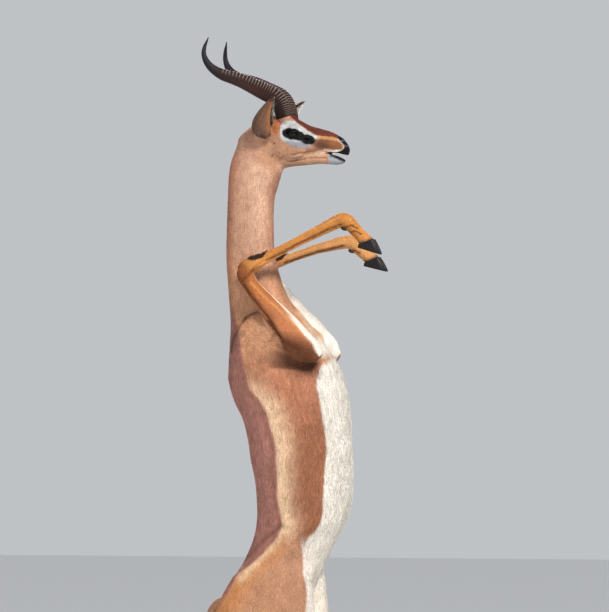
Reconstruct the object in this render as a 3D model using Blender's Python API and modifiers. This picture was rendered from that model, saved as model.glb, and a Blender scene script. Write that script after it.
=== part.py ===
"""Life-size gerenuk ram standing on its hind legs, as a still museum model on a flat base.

Metres, +Z up. The animal faces +X and its right side is -Y. The origin is the centre of the
base's underside. A row of a table below is one cross-section, and a spline runs through the rows.
"""

import math

import bpy
import bmesh
import numpy as np
from mathutils import Matrix, Vector

GAP = 0.0003
BASE_LENGTH = 0.64
BASE_WIDTH = 0.44
BASE_HEIGHT = 0.03
BASE_EDGE = 0.004
GROUND = BASE_HEIGHT + GAP

EYE_CENTRE = (0.0165, 0.0355, 2.0165)
EYE_RADIUS = 0.0155
LID_OPENING = (0.0165, 0.0150, 0.0105)
GLAND_CENTRE = (0.054, 0.0345, 2.001)
NOSTRIL_CENTRE = (0.151, 0.0125, 1.990)

# Trunk and neck, level sections: height, back edge, front edge, half width.
TRUNK = (
    (2.030, -0.100, -0.039, 0.030),
    (2.001, -0.134, -0.020, 0.041),
    (1.962, -0.153, -0.012, 0.046),
    (1.923, -0.163, -0.020, 0.047),
    (1.884, -0.166, -0.032, 0.045),
    (1.832, -0.168, -0.043, 0.044),
    (1.728, -0.171, -0.043, 0.046),
    (1.676, -0.170, -0.035, 0.049),
    (1.624, -0.166, -0.020, 0.053),
    (1.585, -0.163, -0.001, 0.057),
    (1.546, -0.160, 0.033, 0.062),
    (1.507, -0.160, 0.066, 0.069),
    (1.468, -0.162, 0.095, 0.080),
    (1.429, -0.165, 0.122, 0.094),
    (1.377, -0.163, 0.145, 0.104),
    (1.325, -0.148, 0.156, 0.112),
    (1.273, -0.123, 0.161, 0.117),
    (1.221, -0.109, 0.163, 0.120),
    (1.169, -0.101, 0.166, 0.121),
    (1.117, -0.090, 0.166, 0.119),
    (1.065, -0.085, 0.163, 0.115),
    (1.013, -0.085, 0.150, 0.108),
    (0.961, -0.096, 0.123, 0.098),
    (0.909, -0.121, 0.097, 0.091),
    (0.857, -0.148, 0.074, 0.087),
    (0.805, -0.172, 0.050, 0.081),
    (0.753, -0.200, 0.020, 0.074),
    (0.701, -0.205, -0.041, 0.050),
    (0.675, -0.190, -0.087, 0.025),
)
# Hind leg, level sections: height, back edge, front edge, middle from the midline, half width.
HIND_LEG = (
    (0.955, -0.060, 0.040, 0.050, 0.034),
    (0.905, -0.105, 0.068, 0.058, 0.046),
    (0.860, -0.140, 0.078, 0.062, 0.054),
    (0.800, -0.172, 0.083, 0.066, 0.062),
    (0.740, -0.188, 0.087, 0.072, 0.064),
    (0.685, -0.172, 0.091, 0.076, 0.060),
    (0.635, -0.137, 0.090, 0.079, 0.052),
    (0.585, -0.106, 0.072, 0.081, 0.043),
    (0.530, -0.088, 0.044, 0.083, 0.035),
    (0.480, -0.083, 0.014, 0.084, 0.028),
    (0.430, -0.086, -0.014, 0.085, 0.022),
    (0.392, -0.098, -0.034, 0.085, 0.019),
    (0.368, -0.105, -0.041, 0.085, 0.020),
    (0.342, -0.096, -0.039, 0.085, 0.021),
    (0.310, -0.080, -0.038, 0.085, 0.018),
    (0.265, -0.070, -0.038, 0.085, 0.0145),
    (0.200, -0.061, -0.031, 0.085, 0.0132),
    (0.145, -0.053, -0.022, 0.085, 0.0140),
    (0.118, -0.054, -0.010, 0.085, 0.0180),
    (0.098, -0.043, 0.000, 0.085, 0.0165),
    (0.078, -0.029, 0.011, 0.085, 0.0155),
    (0.062, -0.022, 0.020, 0.085, 0.0180),
    (0.050, -0.016, 0.026, 0.085, 0.0160),
)
# Limb stations: x, distance from the midline, z, half depth, half width.
SCAPULA = (
    (-0.150, 0.038, 1.450, 0.022, 0.012),
    (-0.125, 0.050, 1.463, 0.048, 0.018),
    (-0.085, 0.060, 1.485, 0.058, 0.026),
    (-0.040, 0.071, 1.498, 0.057, 0.031),
    (0.010, 0.082, 1.490, 0.047, 0.034),
    (0.050, 0.090, 1.470, 0.036, 0.032),
    (0.076, 0.093, 1.455, 0.022, 0.022),
)
UPPER_ARM = (
    (-0.130, 0.044, 1.422, 0.018, 0.010),
    (-0.091, 0.056, 1.430, 0.030, 0.016),
    (-0.055, 0.067, 1.433, 0.034, 0.025),
    (-0.020, 0.079, 1.435, 0.034, 0.031),
    (0.051, 0.090, 1.448, 0.031, 0.031),
    (0.086, 0.094, 1.448, 0.024, 0.026),
    (0.102, 0.094, 1.447, 0.014, 0.016),
)
FOREARM_RIGHT = (
    (0.106, 0.094, 1.432, 0.014, 0.014),
    (0.081, 0.096, 1.450, 0.034, 0.029),
    (0.045, 0.098, 1.476, 0.041, 0.031),
    (0.018, 0.099, 1.505, 0.0405, 0.031),
    (-0.001, 0.100, 1.530, 0.0355, 0.0285),
    (-0.032, 0.101, 1.569, 0.0275, 0.0245),
    (-0.058, 0.101, 1.597, 0.0240, 0.0220),
    (-0.077, 0.101, 1.621, 0.0212, 0.0195),
    (-0.092, 0.100, 1.645, 0.0225, 0.0195),
    (-0.102, 0.099, 1.663, 0.0180, 0.0170),
)
CANNON_RIGHT = (
    (-0.106, 0.099, 1.655, 0.0160, 0.0160),
    (-0.088, 0.099, 1.667, 0.0220, 0.0200),
    (-0.064, 0.098, 1.679, 0.0190, 0.0175),
    (-0.040, 0.097, 1.690, 0.0150, 0.0145),
    (0.014, 0.093, 1.717, 0.0132, 0.0128),
    (0.085, 0.089, 1.752, 0.0148, 0.0138),
    (0.133, 0.086, 1.776, 0.0178, 0.0165),
    (0.160, 0.084, 1.788, 0.0200, 0.0180),
    (0.177, 0.083, 1.783, 0.0198, 0.0172),
    (0.192, 0.083, 1.768, 0.0180, 0.0162),
    (0.210, 0.082, 1.749, 0.0172, 0.0170),
    (0.2265, 0.082, 1.732, 0.0185, 0.0180),
    (0.238, 0.082, 1.720, 0.0150, 0.0160),
)
FOREARM_LEFT = (
    (0.106, 0.094, 1.434, 0.014, 0.014),
    (0.080, 0.096, 1.451, 0.034, 0.029),
    (0.049, 0.098, 1.478, 0.040, 0.031),
    (0.024, 0.099, 1.508, 0.039, 0.031),
    (0.000, 0.100, 1.537, 0.0325, 0.0280),
    (-0.030, 0.101, 1.578, 0.0265, 0.0245),
    (-0.062, 0.101, 1.620, 0.0215, 0.0205),
    (-0.083, 0.101, 1.645, 0.0200, 0.0185),
    (-0.098, 0.100, 1.664, 0.0225, 0.0195),
    (-0.108, 0.099, 1.682, 0.0180, 0.0170),
)
CANNON_LEFT = (
    (-0.114, 0.099, 1.668, 0.0160, 0.0160),
    (-0.096, 0.098, 1.675, 0.0220, 0.0200),
    (-0.072, 0.096, 1.683, 0.0180, 0.0175),
    (-0.045, 0.094, 1.690, 0.0145, 0.0145),
    (-0.011, 0.092, 1.701, 0.0132, 0.0128),
    (0.046, 0.088, 1.719, 0.0142, 0.0138),
    (0.085, 0.085, 1.728, 0.0160, 0.0150),
    (0.115, 0.082, 1.735, 0.0180, 0.0168),
    (0.138, 0.080, 1.737, 0.0190, 0.0178),
    (0.155, 0.079, 1.728, 0.0190, 0.0172),
    (0.173, 0.078, 1.713, 0.0178, 0.0162),
    (0.189, 0.077, 1.700, 0.0175, 0.0170),
    (0.2010, 0.077, 1.690, 0.0185, 0.0180),
    (0.212, 0.077, 1.681, 0.0150, 0.0160),
)
# Head, upright sections: x, top, bottom, half width.
SKULL = (
    (-0.140, 2.004, 1.965, 0.018),
    (-0.126, 2.020, 1.950, 0.033),
    (-0.108, 2.035, 1.940, 0.041),
    (-0.090, 2.046, 1.935, 0.044),
    (-0.070, 2.056, 1.932, 0.047),
    (-0.048, 2.064, 1.932, 0.049),
    (-0.024, 2.068, 1.935, 0.051),
    (0.000, 2.065, 1.942, 0.050),
    (0.027, 2.053, 1.950, 0.045),
    (0.054, 2.039, 1.957, 0.037),
    (0.081, 2.031, 1.961, 0.030),
    (0.108, 2.023, 1.965, 0.025),
    (0.129, 2.013, 1.965, 0.023),
    (0.145, 2.003, 1.961, 0.021),
    (0.157, 1.990, 1.962, 0.0175),
    (0.164, 1.978, 1.966, 0.009),
)
JAW = (
    (-0.050, 1.975, 1.936, 0.024),
    (-0.038, 1.980, 1.931, 0.029),
    (-0.019, 1.980, 1.928, 0.030),
    (0.013, 1.974, 1.932, 0.026),
    (0.054, 1.967, 1.935, 0.021),
    (0.081, 1.963, 1.937, 0.0175),
    (0.102, 1.958, 1.936, 0.0160),
    (0.121, 1.953, 1.934, 0.0150),
    (0.137, 1.948, 1.934, 0.0125),
    (0.149, 1.944, 1.937, 0.0070),
)
# Lip stations, as a limb's.
UPPER_LIP = (
    (0.096, 0.0180, 1.9640, 0.0020, 0.0025),
    (0.118, 0.0180, 1.9640, 0.0030, 0.0032),
    (0.138, 0.0155, 1.9615, 0.0034, 0.0034),
    (0.152, 0.0095, 1.9605, 0.0032, 0.0034),
    (0.158, 0.0005, 1.9625, 0.0030, 0.0034),
)
LOWER_LIP = (
    (0.104, 0.0148, 1.9560, 0.0020, 0.0022),
    (0.118, 0.0136, 1.9530, 0.0026, 0.0026),
    (0.133, 0.0112, 1.9490, 0.0028, 0.0028),
    (0.145, 0.0060, 1.9450, 0.0026, 0.0028),
    (0.149, 0.0005, 1.9435, 0.0024, 0.0028),
)
# Horn stations: x, distance from the midline, z, half depth, half width.
HORN = (
    (-0.001, 0.022, 2.030, 0.0195, 0.0165),
    (-0.005, 0.025, 2.048, 0.0200, 0.0170),
    (-0.010, 0.029, 2.068, 0.0212, 0.0175),
    (-0.019, 0.034, 2.093, 0.0218, 0.0176),
    (-0.034, 0.041, 2.112, 0.0220, 0.0175),
    (-0.055, 0.048, 2.124, 0.0218, 0.0172),
    (-0.084, 0.061, 2.139, 0.0198, 0.0158),
    (-0.110, 0.073, 2.152, 0.0180, 0.0144),
    (-0.134, 0.082, 2.161, 0.0165, 0.0134),
    (-0.158, 0.090, 2.169, 0.0145, 0.0120),
    (-0.182, 0.096, 2.184, 0.0112, 0.0100),
    (-0.197, 0.100, 2.202, 0.0086, 0.0080),
    (-0.204, 0.102, 2.222, 0.0064, 0.0060),
    (-0.203, 0.098, 2.241, 0.0048, 0.0046),
    (-0.199, 0.091, 2.256, 0.0028, 0.0028),
    (-0.196, 0.086, 2.267, 0.0006, 0.0006),
)
# The raised forefeet: the place of each coronet, the slope of its sole and the lean of the coronet.
FORE_CORONET = {"right": (0.2265, 0.082, 1.732), "left": (0.2010, 0.077, 1.690)}
FORE_SOLE_SLOPE = {"right": 17.5, "left": 14}
FORE_CORONET_LEAN = 37
CORONET_IN_HOOF = (-0.004, 0, 0.021)
HORN_RINGS = 22
HORN_RINGED_SHARE = 0.66
RING_HEIGHT = 0.0016
# Ear stations along its length: share, half width of the cup, half angle of its wall in degrees.
EAR_BASE = (-0.0600, 0.0510, 2.0160)
EAR_TIP = (0.001, 0.142, 2.108)
EAR_OPENING = (0.97, -0.10, 0.05)
EAR = (
    (0.00, 0.0165, 150),
    (0.10, 0.0225, 144),
    (0.25, 0.0280, 130),
    (0.45, 0.0250, 116),
    (0.65, 0.0185, 104),
    (0.82, 0.0122, 92),
    (0.94, 0.0074, 80),
    (1.00, 0.0034, 70),
)
EAR_DEPTH = 1.15
EAR_WALL = 0.0022
EAR_SEAT_RADIUS = 0.0245
# Tail stations: x, z, half depth, half width.
TAIL = (
    (-0.165, 0.800, 0.018, 0.020),
    (-0.196, 0.786, 0.016, 0.018),
    (-0.217, 0.755, 0.012, 0.015),
    (-0.228, 0.715, 0.0095, 0.012),
    (-0.232, 0.665, 0.0080, 0.0095),
    (-0.231, 0.615, 0.0070, 0.0080),
    (-0.228, 0.575, 0.0060, 0.0070),
    (-0.226, 0.550, 0.0040, 0.0050),
)
TUFT_LOCKS = 12

# Triangles of each fused mass, and where each part of the cut body has its middle.
BODY_TRIANGLES = 4000
FORELEG_TRIANGLES = 640
HEAD_TRIANGLES = 2400
BODY_PLACES = {
    "neck": (-0.10, 0, 1.78),
    "torso": (0.0, 0, 1.15),
    "thigh_right": (-0.05, -0.08, 0.68),
    "thigh_left": (-0.05, 0.08, 0.68),
    "shank_right": (-0.04, -0.084, 0.46),
    "shank_left": (-0.04, 0.084, 0.46),
    "cannon_hind_right": (-0.05, -0.085, 0.20),
    "cannon_hind_left": (-0.05, 0.085, 0.20),
}
# The slabs that part the head from the neck and the jaw from the head, and the flat foot of each horn.
HEAD_CUT = ((-0.074, 0, 1.9655), (0.787, 0, -0.617), 0.21, 0.20)
HORN_AXIS = Vector((-0.0085, 0.005, 0.024)).normalized()
HORN_FOOT = (-0.0120, 0.0301, 2.0735)
HORN_CUT = 0.054
JAW_CUT = ((0.039, 0, 1.9480), (0.154, 0, 0.0265), 0.162, 0.12)
HIND_HOOF_Y = 0.085
HOOF_HEIGHT = 0.0315

PELT = ((0.55, 0.30, 0.16), 0.85)
HORN_BROWN = ((0.05, 0.038, 0.03), 0.45)
HOOF_BLACK = ((0.02, 0.018, 0.017), 0.4)
EYE_BLACK = ((0.01, 0.007, 0.005), 0.08)
TUFT_BLACK = ((0.03, 0.022, 0.02), 0.8)
BASE_GREY = ((0.30, 0.29, 0.27), 0.6)

WHOLE = bpy.data.collections.new("gerenuk")
CUTTERS = bpy.data.collections.new("cutters")


def clear_scene():
    for old in list(bpy.data.objects):
        bpy.data.objects.remove(old, do_unlink=True)
    bpy.context.scene.collection.children.link(WHOLE)
    bpy.context.scene.collection.children.link(CUTTERS)


def material(name, finish):
    made = bpy.data.materials.new(name)
    made.use_nodes = True
    shader = made.node_tree.nodes["Principled BSDF"]
    colour, roughness = finish
    shader.inputs["Base Color"].default_value = (*colour, 1)
    shader.inputs["Roughness"].default_value = roughness
    shader.inputs["Metallic"].default_value = 0
    made.diffuse_color = (*colour, 1)
    return made


def spline(rows, count):
    """A Catmull-Rom curve through the rows, as count points evenly spread over the row numbers."""
    rows = np.asarray(rows, float)
    padded = np.vstack([2 * rows[0] - rows[1], rows, 2 * rows[-1] - rows[-2]])
    at = np.linspace(0, len(rows) - 1, count)
    first = np.minimum(at.astype(int), len(rows) - 2)
    t = (at - first)[:, None]
    a, b, c, d = (padded[first + shift] for shift in range(4))
    return b + 0.5 * t * (c - a + t * (2 * a - 5 * b + 4 * c - d + t * (3 * (b - c) + d - a)))


def mesh_object(name, points, faces, collection=CUTTERS):
    mesh = bpy.data.meshes.new(name)
    mesh.from_pydata([tuple(map(float, p)) for p in points], [], faces)
    made = bpy.data.objects.new(name, mesh)
    collection.objects.link(made)
    shape = bmesh.new()
    shape.from_mesh(mesh)
    bmesh.ops.recalc_face_normals(shape, faces=shape.faces)
    shape.to_mesh(mesh)
    shape.free()
    return made


def loft(name, rings):
    """A closed skin over rings of equal count, with a flat cap at each end."""
    rings = np.asarray(rings, float)
    count = rings.shape[1]
    faces = [tuple(range(count)), tuple(range((len(rings) - 1) * count, len(rings) * count))]
    for i in range(len(rings) - 1):
        for j in range(count):
            k = (j + 1) % count
            faces.append((i * count + j, i * count + k, (i + 1) * count + k, (i + 1) * count + j))
    return mesh_object(name, rings.reshape(-1, 3), faces)


def round_section(sides, fullness=2.0):
    """Unit outline of a superellipse: 2 is an ellipse, and more is squarer."""
    turn = np.linspace(0, 2 * math.pi, sides, endpoint=False)
    power = 2.0 / fullness
    across = np.sign(np.cos(turn)) * np.abs(np.cos(turn)) ** power
    up = np.sign(np.sin(turn)) * np.abs(np.sin(turn)) ** power
    return across, up


def tube(name, stations, sides, steps):
    """A limb through stations of x, y, z, half depth and half width, its width along Y."""
    rows = spline(stations, steps)
    path = rows[:, :3]
    along = np.gradient(path, axis=0)
    along /= np.linalg.norm(along, axis=1)[:, None]
    side = np.array([0.0, 1.0, 0.0]) - along * along[:, 1:2]
    side /= np.linalg.norm(side, axis=1)[:, None]
    depth = np.cross(along, side)
    across, up = round_section(sides)
    rings = (
        path[:, None]
        + across[None, :, None] * side[:, None] * rows[:, 4][:, None, None]
        + up[None, :, None] * depth[:, None] * rows[:, 3][:, None, None]
    )
    return loft(name, rings)


def on_side(stations, side):
    """The stations with their distance from the midline turned into y: side is 1 or -1."""
    rows = np.array(stations, float)
    rows[:, 1] *= side
    return rows


def trunk_object(steps=110, sides=40):
    """Neck, chest, belly and hips: the chest's section narrows towards the breastbone."""
    rows = spline(TRUNK, steps)
    across, up = round_section(sides, 2.15)
    middle = (rows[:, 1] + rows[:, 2]) / 2
    depth = (rows[:, 2] - rows[:, 1]) / 2
    chest = np.clip(1 - np.abs(rows[:, 0] - 1.46) / 0.16, 0, 1) * 0.22
    narrow = 1 - chest[:, None] * np.clip(up, 0, 1)[None, :]
    rings = np.stack(
        [
            middle[:, None] + depth[:, None] * up[None, :],
            rows[:, 3][:, None] * across[None, :] * narrow,
            np.repeat(rows[:, :1], sides, axis=1),
        ],
        axis=-1,
    )
    return loft("trunk", rings)


def hind_leg_object(side, steps=90, sides=24):
    rows = spline(HIND_LEG, steps)
    across, up = round_section(sides, 2.1)
    middle = (rows[:, 1] + rows[:, 2]) / 2
    depth = (rows[:, 2] - rows[:, 1]) / 2
    rings = np.stack(
        [
            middle[:, None] + depth[:, None] * up[None, :],
            side * rows[:, 3][:, None] + rows[:, 4][:, None] * across[None, :],
            np.repeat(rows[:, :1], sides, axis=1),
        ],
        axis=-1,
    )
    return loft("hind_leg", rings)


def head_loft(name, stations, steps, sides, fullness):
    rows = spline(stations, steps)
    across, up = round_section(sides, fullness)
    middle = (rows[:, 1] + rows[:, 2]) / 2
    height = (rows[:, 1] - rows[:, 2]) / 2
    rings = np.stack(
        [
            np.repeat(rows[:, :1], sides, axis=1),
            rows[:, 3][:, None] * across[None, :],
            middle[:, None] + height[:, None] * up[None, :],
        ],
        axis=-1,
    )
    return loft(name, rings)


def ball(name, centre, radii, turn=0.0, segments=20):
    """An ellipsoid: turn tips its long axis up round Y, in degrees."""
    bpy.ops.mesh.primitive_uv_sphere_add(segments=segments, ring_count=segments // 2)
    made = bpy.context.object
    made.name = name
    tip = Matrix.Rotation(math.radians(-turn), 4, "Y")
    made.data.transform(Matrix.Translation(centre) @ tip @ Matrix.Diagonal((*radii, 1)))
    move_to(made, CUTTERS)
    return made


def move_to(made, collection):
    for old in list(made.users_collection):
        old.objects.unlink(made)
    collection.objects.link(made)


def joined(name, pieces):
    """One mesh object that holds all the pieces, still overlapping."""
    whole = bmesh.new()
    for piece in pieces:
        whole.from_mesh(piece.data)
        bpy.data.objects.remove(piece, do_unlink=True)
    mesh = bpy.data.meshes.new(name)
    whole.to_mesh(mesh)
    whole.free()
    made = bpy.data.objects.new(name, mesh)
    CUTTERS.objects.link(made)
    return made


def apply_modifiers(made):
    bpy.context.view_layer.update()
    graph = bpy.context.evaluated_depsgraph_get()
    mesh = bpy.data.meshes.new_from_object(made.evaluated_get(graph))
    made.modifiers.clear()
    made.data = mesh


def melted(made, voxel, smoothing, triangles):
    """Overlapping pieces fused into one smooth skin of about this many triangles."""
    remesh = made.modifiers.new("fuse", "REMESH")
    remesh.mode = "VOXEL"
    remesh.voxel_size = voxel
    relax = made.modifiers.new("relax", "SMOOTH")
    relax.factor = 0.5
    relax.iterations = smoothing
    apply_modifiers(made)
    thin = made.modifiers.new("thin", "DECIMATE")
    thin.ratio = min(1.0, triangles / (2 * len(made.data.polygons)))
    apply_modifiers(made)
    return made


def boolean(made, others, operation, solver="EXACT"):
    """The objects joined to, or cut from, the mesh, and then removed."""
    group = bpy.data.collections.new("pieces")
    bpy.context.scene.collection.children.link(group)
    for other in others:
        move_to(other, group)
    tool = made.modifiers.new(operation.lower(), "BOOLEAN")
    tool.operation = operation
    tool.solver = solver
    tool.operand_type = "COLLECTION"
    tool.collection = group
    apply_modifiers(made)
    for other in list(group.objects):
        bpy.data.objects.remove(other, do_unlink=True)
    bpy.data.collections.remove(group)
    return made


def slab(centre, along, length, width, side=(0, 1, 0)):
    """A thin cutter the gap thick: its length runs along one way and its width along side."""
    x = Vector(along).normalized()
    y = Vector(side)
    y = (y - x * y.dot(x)).normalized()
    z = x.cross(y)
    frame = Matrix((x, y, z)).transposed().to_4x4()
    bpy.ops.mesh.primitive_cube_add(size=1)
    made = bpy.context.object
    scale = Matrix.Diagonal((length, width, GAP, 1))
    made.data.transform(Matrix.Translation(centre) @ frame @ scale)
    move_to(made, CUTTERS)
    return made


def slab_facing(centre, normal, size):
    """A square thin cutter whose flat sides face along the normal."""
    normal = Vector(normal).normalized()
    along = Vector((0, 1, 0)).cross(normal).normalized()
    return slab(centre, along, size, size, normal.cross(along))


def pieces_of(made):
    """The loose bodies of a mesh as (middle, size, bmesh faces) objects, largest first."""
    shape = bmesh.new()
    shape.from_mesh(made.data)
    shape.verts.ensure_lookup_table()
    left = set(shape.verts)
    found = []
    while left:
        seed = left.pop()
        body, edge = {seed}, [seed]
        while edge:
            for link in edge.pop().link_edges:
                for vertex in link.verts:
                    if vertex in left:
                        left.discard(vertex)
                        body.add(vertex)
                        edge.append(vertex)
        found.append(body)
    meshes = []
    for body in sorted(found, key=len, reverse=True):
        number = {vertex: i for i, vertex in enumerate(body)}
        faces = {face for vertex in body for face in vertex.link_faces}
        points = [tuple(vertex.co) for vertex in number]
        meshes.append((points, [tuple(number[v] for v in face.verts) for face in faces]))
    shape.free()
    return meshes


def node(name, points, faces, look):
    made = mesh_object(name, points, faces, WHOLE)
    made.data.materials.append(look)
    for polygon in made.data.polygons:
        polygon.use_smooth = True
    return made


def largest_body(made, name, look):
    points, faces = pieces_of(made)[0]
    bpy.data.objects.remove(made, do_unlink=True)
    return node(name, points, faces, look)


def split_into_nodes(made, places, look):
    """Each loose body becomes the node whose place is nearest to its middle."""
    bodies = pieces_of(made)
    bpy.data.objects.remove(made, do_unlink=True)
    middles = [np.mean(np.array(points), axis=0) for points, _ in bodies]
    for name, place in places.items():
        apart = [np.linalg.norm(middle - np.array(place)) for middle in middles]
        points, faces = bodies[int(np.argmin(apart))]
        node(name, points, faces, look)


def mirrored(point, side):
    return (point[0], point[1] * side, point[2])


def ear_axis(side):
    return (Vector(mirrored(EAR_TIP, side)) - Vector(mirrored(EAR_BASE, side))).normalized()


def body_cutters():
    """Thin cuts that part the body: head, neck, forearms, carpi, hooves, thighs, hocks and tail."""
    cuts = [slab(*HEAD_CUT)]
    cuts.append(slab((-0.08, 0, 1.597), (1, 0, 0.06), 0.26, 0.16))
    for side in (-1, 1):
        cuts.append(slab((-0.05, side * 0.075, 0.731), (1, 0, 0), 0.34, 0.205, (0, side * 0.69, 0.72)))
        cuts.append(slab((-0.02, side * 0.081, 0.560), (1, 0, 0.22), 0.24, 0.11))
        cuts.append(slab((-0.068, side * 0.085, 0.350), (1, 0, 0.15), 0.12, 0.07))
        cuts.append(slab((0.001, side * HIND_HOOF_Y, GROUND + HOOF_HEIGHT + GAP / 2), (1, 0, 0), 0.08, 0.06))
    return cuts


def build_body(look):
    pieces = [trunk_object()]
    for side in (-1, 1):
        pieces.append(tube("scapula", on_side(SCAPULA, side), 24, 36))
        pieces.append(tube("upper_arm", on_side(UPPER_ARM, side), 24, 30))
        pieces.append(hind_leg_object(side))
    pieces.append(ball("groin", (0.030, 0, 0.790), (0.026, 0.022, 0.036), 10))
    body = melted(joined("body", pieces), 0.005, 6, BODY_TRIANGLES)
    boolean(body, body_cutters(), "DIFFERENCE")
    split_into_nodes(body, BODY_PLACES, look)


def build_foreleg(side, look):
    """Forearm and cannon, parted at the knee, with the elbow set against the torso."""
    forearm, cannon = (FOREARM_LEFT, CANNON_LEFT) if side > 0 else (FOREARM_RIGHT, CANNON_RIGHT)
    word = "left" if side > 0 else "right"
    pieces = [
        tube("forearm", on_side(forearm, side), 20, 40),
        tube("cannon", on_side(cannon, side), 20, 56),
    ]
    leg = melted(joined("foreleg", pieces), 0.0035, 5, FORELEG_TRIANGLES)
    elbow, knee, fetlock = (
        Vector(mirrored(p, side)) for p in (forearm[3][:3], forearm[-1][:3], cannon[5][:3])
    )
    bisector = ((elbow - knee).normalized() + (fetlock - knee).normalized()).normalized()
    cuts = [slab(knee + bisector * 0.004, bisector, 0.085, 0.07)]
    cuts.append(slab_facing(mirrored(FORE_CORONET[word], side), fore_hoof_axes(word)[1], 0.06))
    boolean(leg, cuts, "DIFFERENCE")
    carve_from(leg, WHOLE.objects["torso"])
    places = {
        f"forearm_{word}": elbow.lerp(knee, 0.4),
        f"cannon_fore_{word}": knee.lerp(fetlock, 0.6),
    }
    split_into_nodes(leg, places, look)


def build_head(look):
    """Skull, jaw with the mouth a little open, lids, gland pits, nostrils and the feet of horns and ears."""
    pieces = [
        head_loft("skull", SKULL, 60, 32, 2.25),
        head_loft("jaw", JAW, 40, 20, 2.3),
        tube("nape", [(-0.150, 0, 1.90, 0.05, 0.045), (-0.10, 0, 1.94, 0.055, 0.046),
                      (-0.08, 0, 1.985, 0.045, 0.042)], 28, 12),
    ]
    for side in (-1, 1):
        x, y, z = mirrored(EYE_CENTRE, side)
        pieces.append(ball("brow", (x - 0.002, y - side * 0.003, z + 0.003), (0.026, 0.0185, 0.0215), -14))
        pieces.append(ball("cheek", (0.000, side * 0.030, 1.975), (0.050, 0.0155, 0.024), -8))
        pieces.append(tube("upper_lip", on_side(UPPER_LIP, side), 10, 16))
        pieces.append(tube("lower_lip", on_side(LOWER_LIP, side), 10, 16))
        foot = Vector(mirrored(HORN_FOOT, side))
        axis = Vector(mirrored(HORN_AXIS, side))
        low, high = foot - axis * 0.03, foot + axis * 0.012
        pieces.append(tube("pedicle", [(*low, 0.023, 0.019), (*foot, 0.0205, 0.0170),
                                       (*high, 0.0200, 0.0166)], 20, 10))
        base = Vector(mirrored(EAR_BASE, side))
        along = ear_axis(side)
        low, high = base - along * 0.035, base + along * 0.006
        pieces.append(tube("ear_foot", [(*low, 0.036, 0.034), (*base, 0.0205, 0.0195),
                                        (*high, 0.0185, 0.0175)], 20, 10))
    head = melted(joined("head_mass", pieces), 0.0022, 4, HEAD_TRIANGLES)
    cuts = []
    for side in (-1, 1):
        x, y, z = mirrored(EYE_CENTRE, side)
        cuts.append(ball("socket", (x, y, z), (EYE_RADIUS + GAP,) * 3, 0, 16))
        cuts.append(ball("lid_opening", (x, y + side * 0.014, z), LID_OPENING, -14, 14))
        cuts.append(ball("gland", mirrored(GLAND_CENTRE, side), (0.0090, 0.005, 0.0040), -20, 10))
        cuts.append(ball("nostril", mirrored(NOSTRIL_CENTRE, side), (0.0075, 0.0040, 0.0030), -38, 8))
        axis = Vector(mirrored(HORN_AXIS, side))
        cuts.append(slab_facing(mirrored(HORN_FOOT, side), axis, HORN_CUT))
        seat = Vector(mirrored(EAR_BASE, side)) - ear_axis(side) * (GAP / 2)
        over = seat + ear_axis(side) * EAR_SEAT_RADIUS
        cuts.append(tube("ear_seat", [(*seat, EAR_SEAT_RADIUS, EAR_SEAT_RADIUS),
                                      (*over, EAR_SEAT_RADIUS, EAR_SEAT_RADIUS)], 20, 2))
    cuts.append(slab(*HEAD_CUT))
    cuts.append(slab(*JAW_CUT))
    boolean(head, cuts, "DIFFERENCE")
    split_into_nodes(head, {"head": (0.0, 0, 2.0), "lower_jaw": (0.07, 0, 1.945)}, look)


def build_horn(side, look):
    """A horn with rings that are close at the foot, wider apart upwards, and end before the tip."""
    rows = spline(on_side(HORN, side), 400)
    path = rows[:, :3]
    step = np.linalg.norm(np.diff(path, axis=0), axis=1)
    share = np.concatenate([[0], np.cumsum(step)]) / step.sum()
    foot = Vector(mirrored(HORN_FOOT, side)) + Vector(mirrored(HORN_AXIS, side)) * GAP
    start = float(np.interp(foot.z, path[:60, 2], share[:60]))
    edges = start + 0.004 + (HORN_RINGED_SHARE - start) * np.linspace(0, 1, HORN_RINGS + 1) ** 1.25
    places, swell = [start], [0.0]
    for low, high in zip(edges[:-1], edges[1:]):
        places += [low, low + (high - low) * 0.55]
        fade = min(1.0, 1.9 * (1 - low / HORN_RINGED_SHARE))
        swell += [0.0, RING_HEIGHT * (0.45 + 0.55 * fade)]
    smooth_part = np.linspace(HORN_RINGED_SHARE + 0.01, 1, 12)
    places += list(smooth_part)
    swell += [0.0] * len(smooth_part)
    at = np.array([[np.interp(p, share, rows[:, c]) for c in range(5)] for p in places])
    at[:, 3] += np.array(swell)
    at[:, 4] += np.array(swell)
    along = np.array([[np.interp(p, share, np.gradient(path[:, c])) for c in range(3)] for p in places])
    along /= np.linalg.norm(along, axis=1)[:, None]
    along[0] = tuple(Vector(mirrored(HORN_AXIS, side)))
    at[0, :3] = tuple(foot)
    across_way = np.array([0.0, 1.0, 0.0]) - along * along[:, 1:2]
    across_way /= np.linalg.norm(across_way, axis=1)[:, None]
    depth_way = np.cross(along, across_way)
    across, up = round_section(10)
    rings = (
        at[:, None, :3]
        + across[None, :, None] * across_way[:, None] * at[:, 4][:, None, None]
        + up[None, :, None] * depth_way[:, None] * at[:, 3][:, None, None]
    )
    made = loft("horn", rings)
    largest_body(made, "horn_left" if side > 0 else "horn_right", look)


def ear_frame(side):
    along = ear_axis(side)
    opening = Vector(mirrored(EAR_OPENING, side))
    opening = (opening - along * opening.dot(along)).normalized()
    return along, opening, along.cross(opening)


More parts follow.
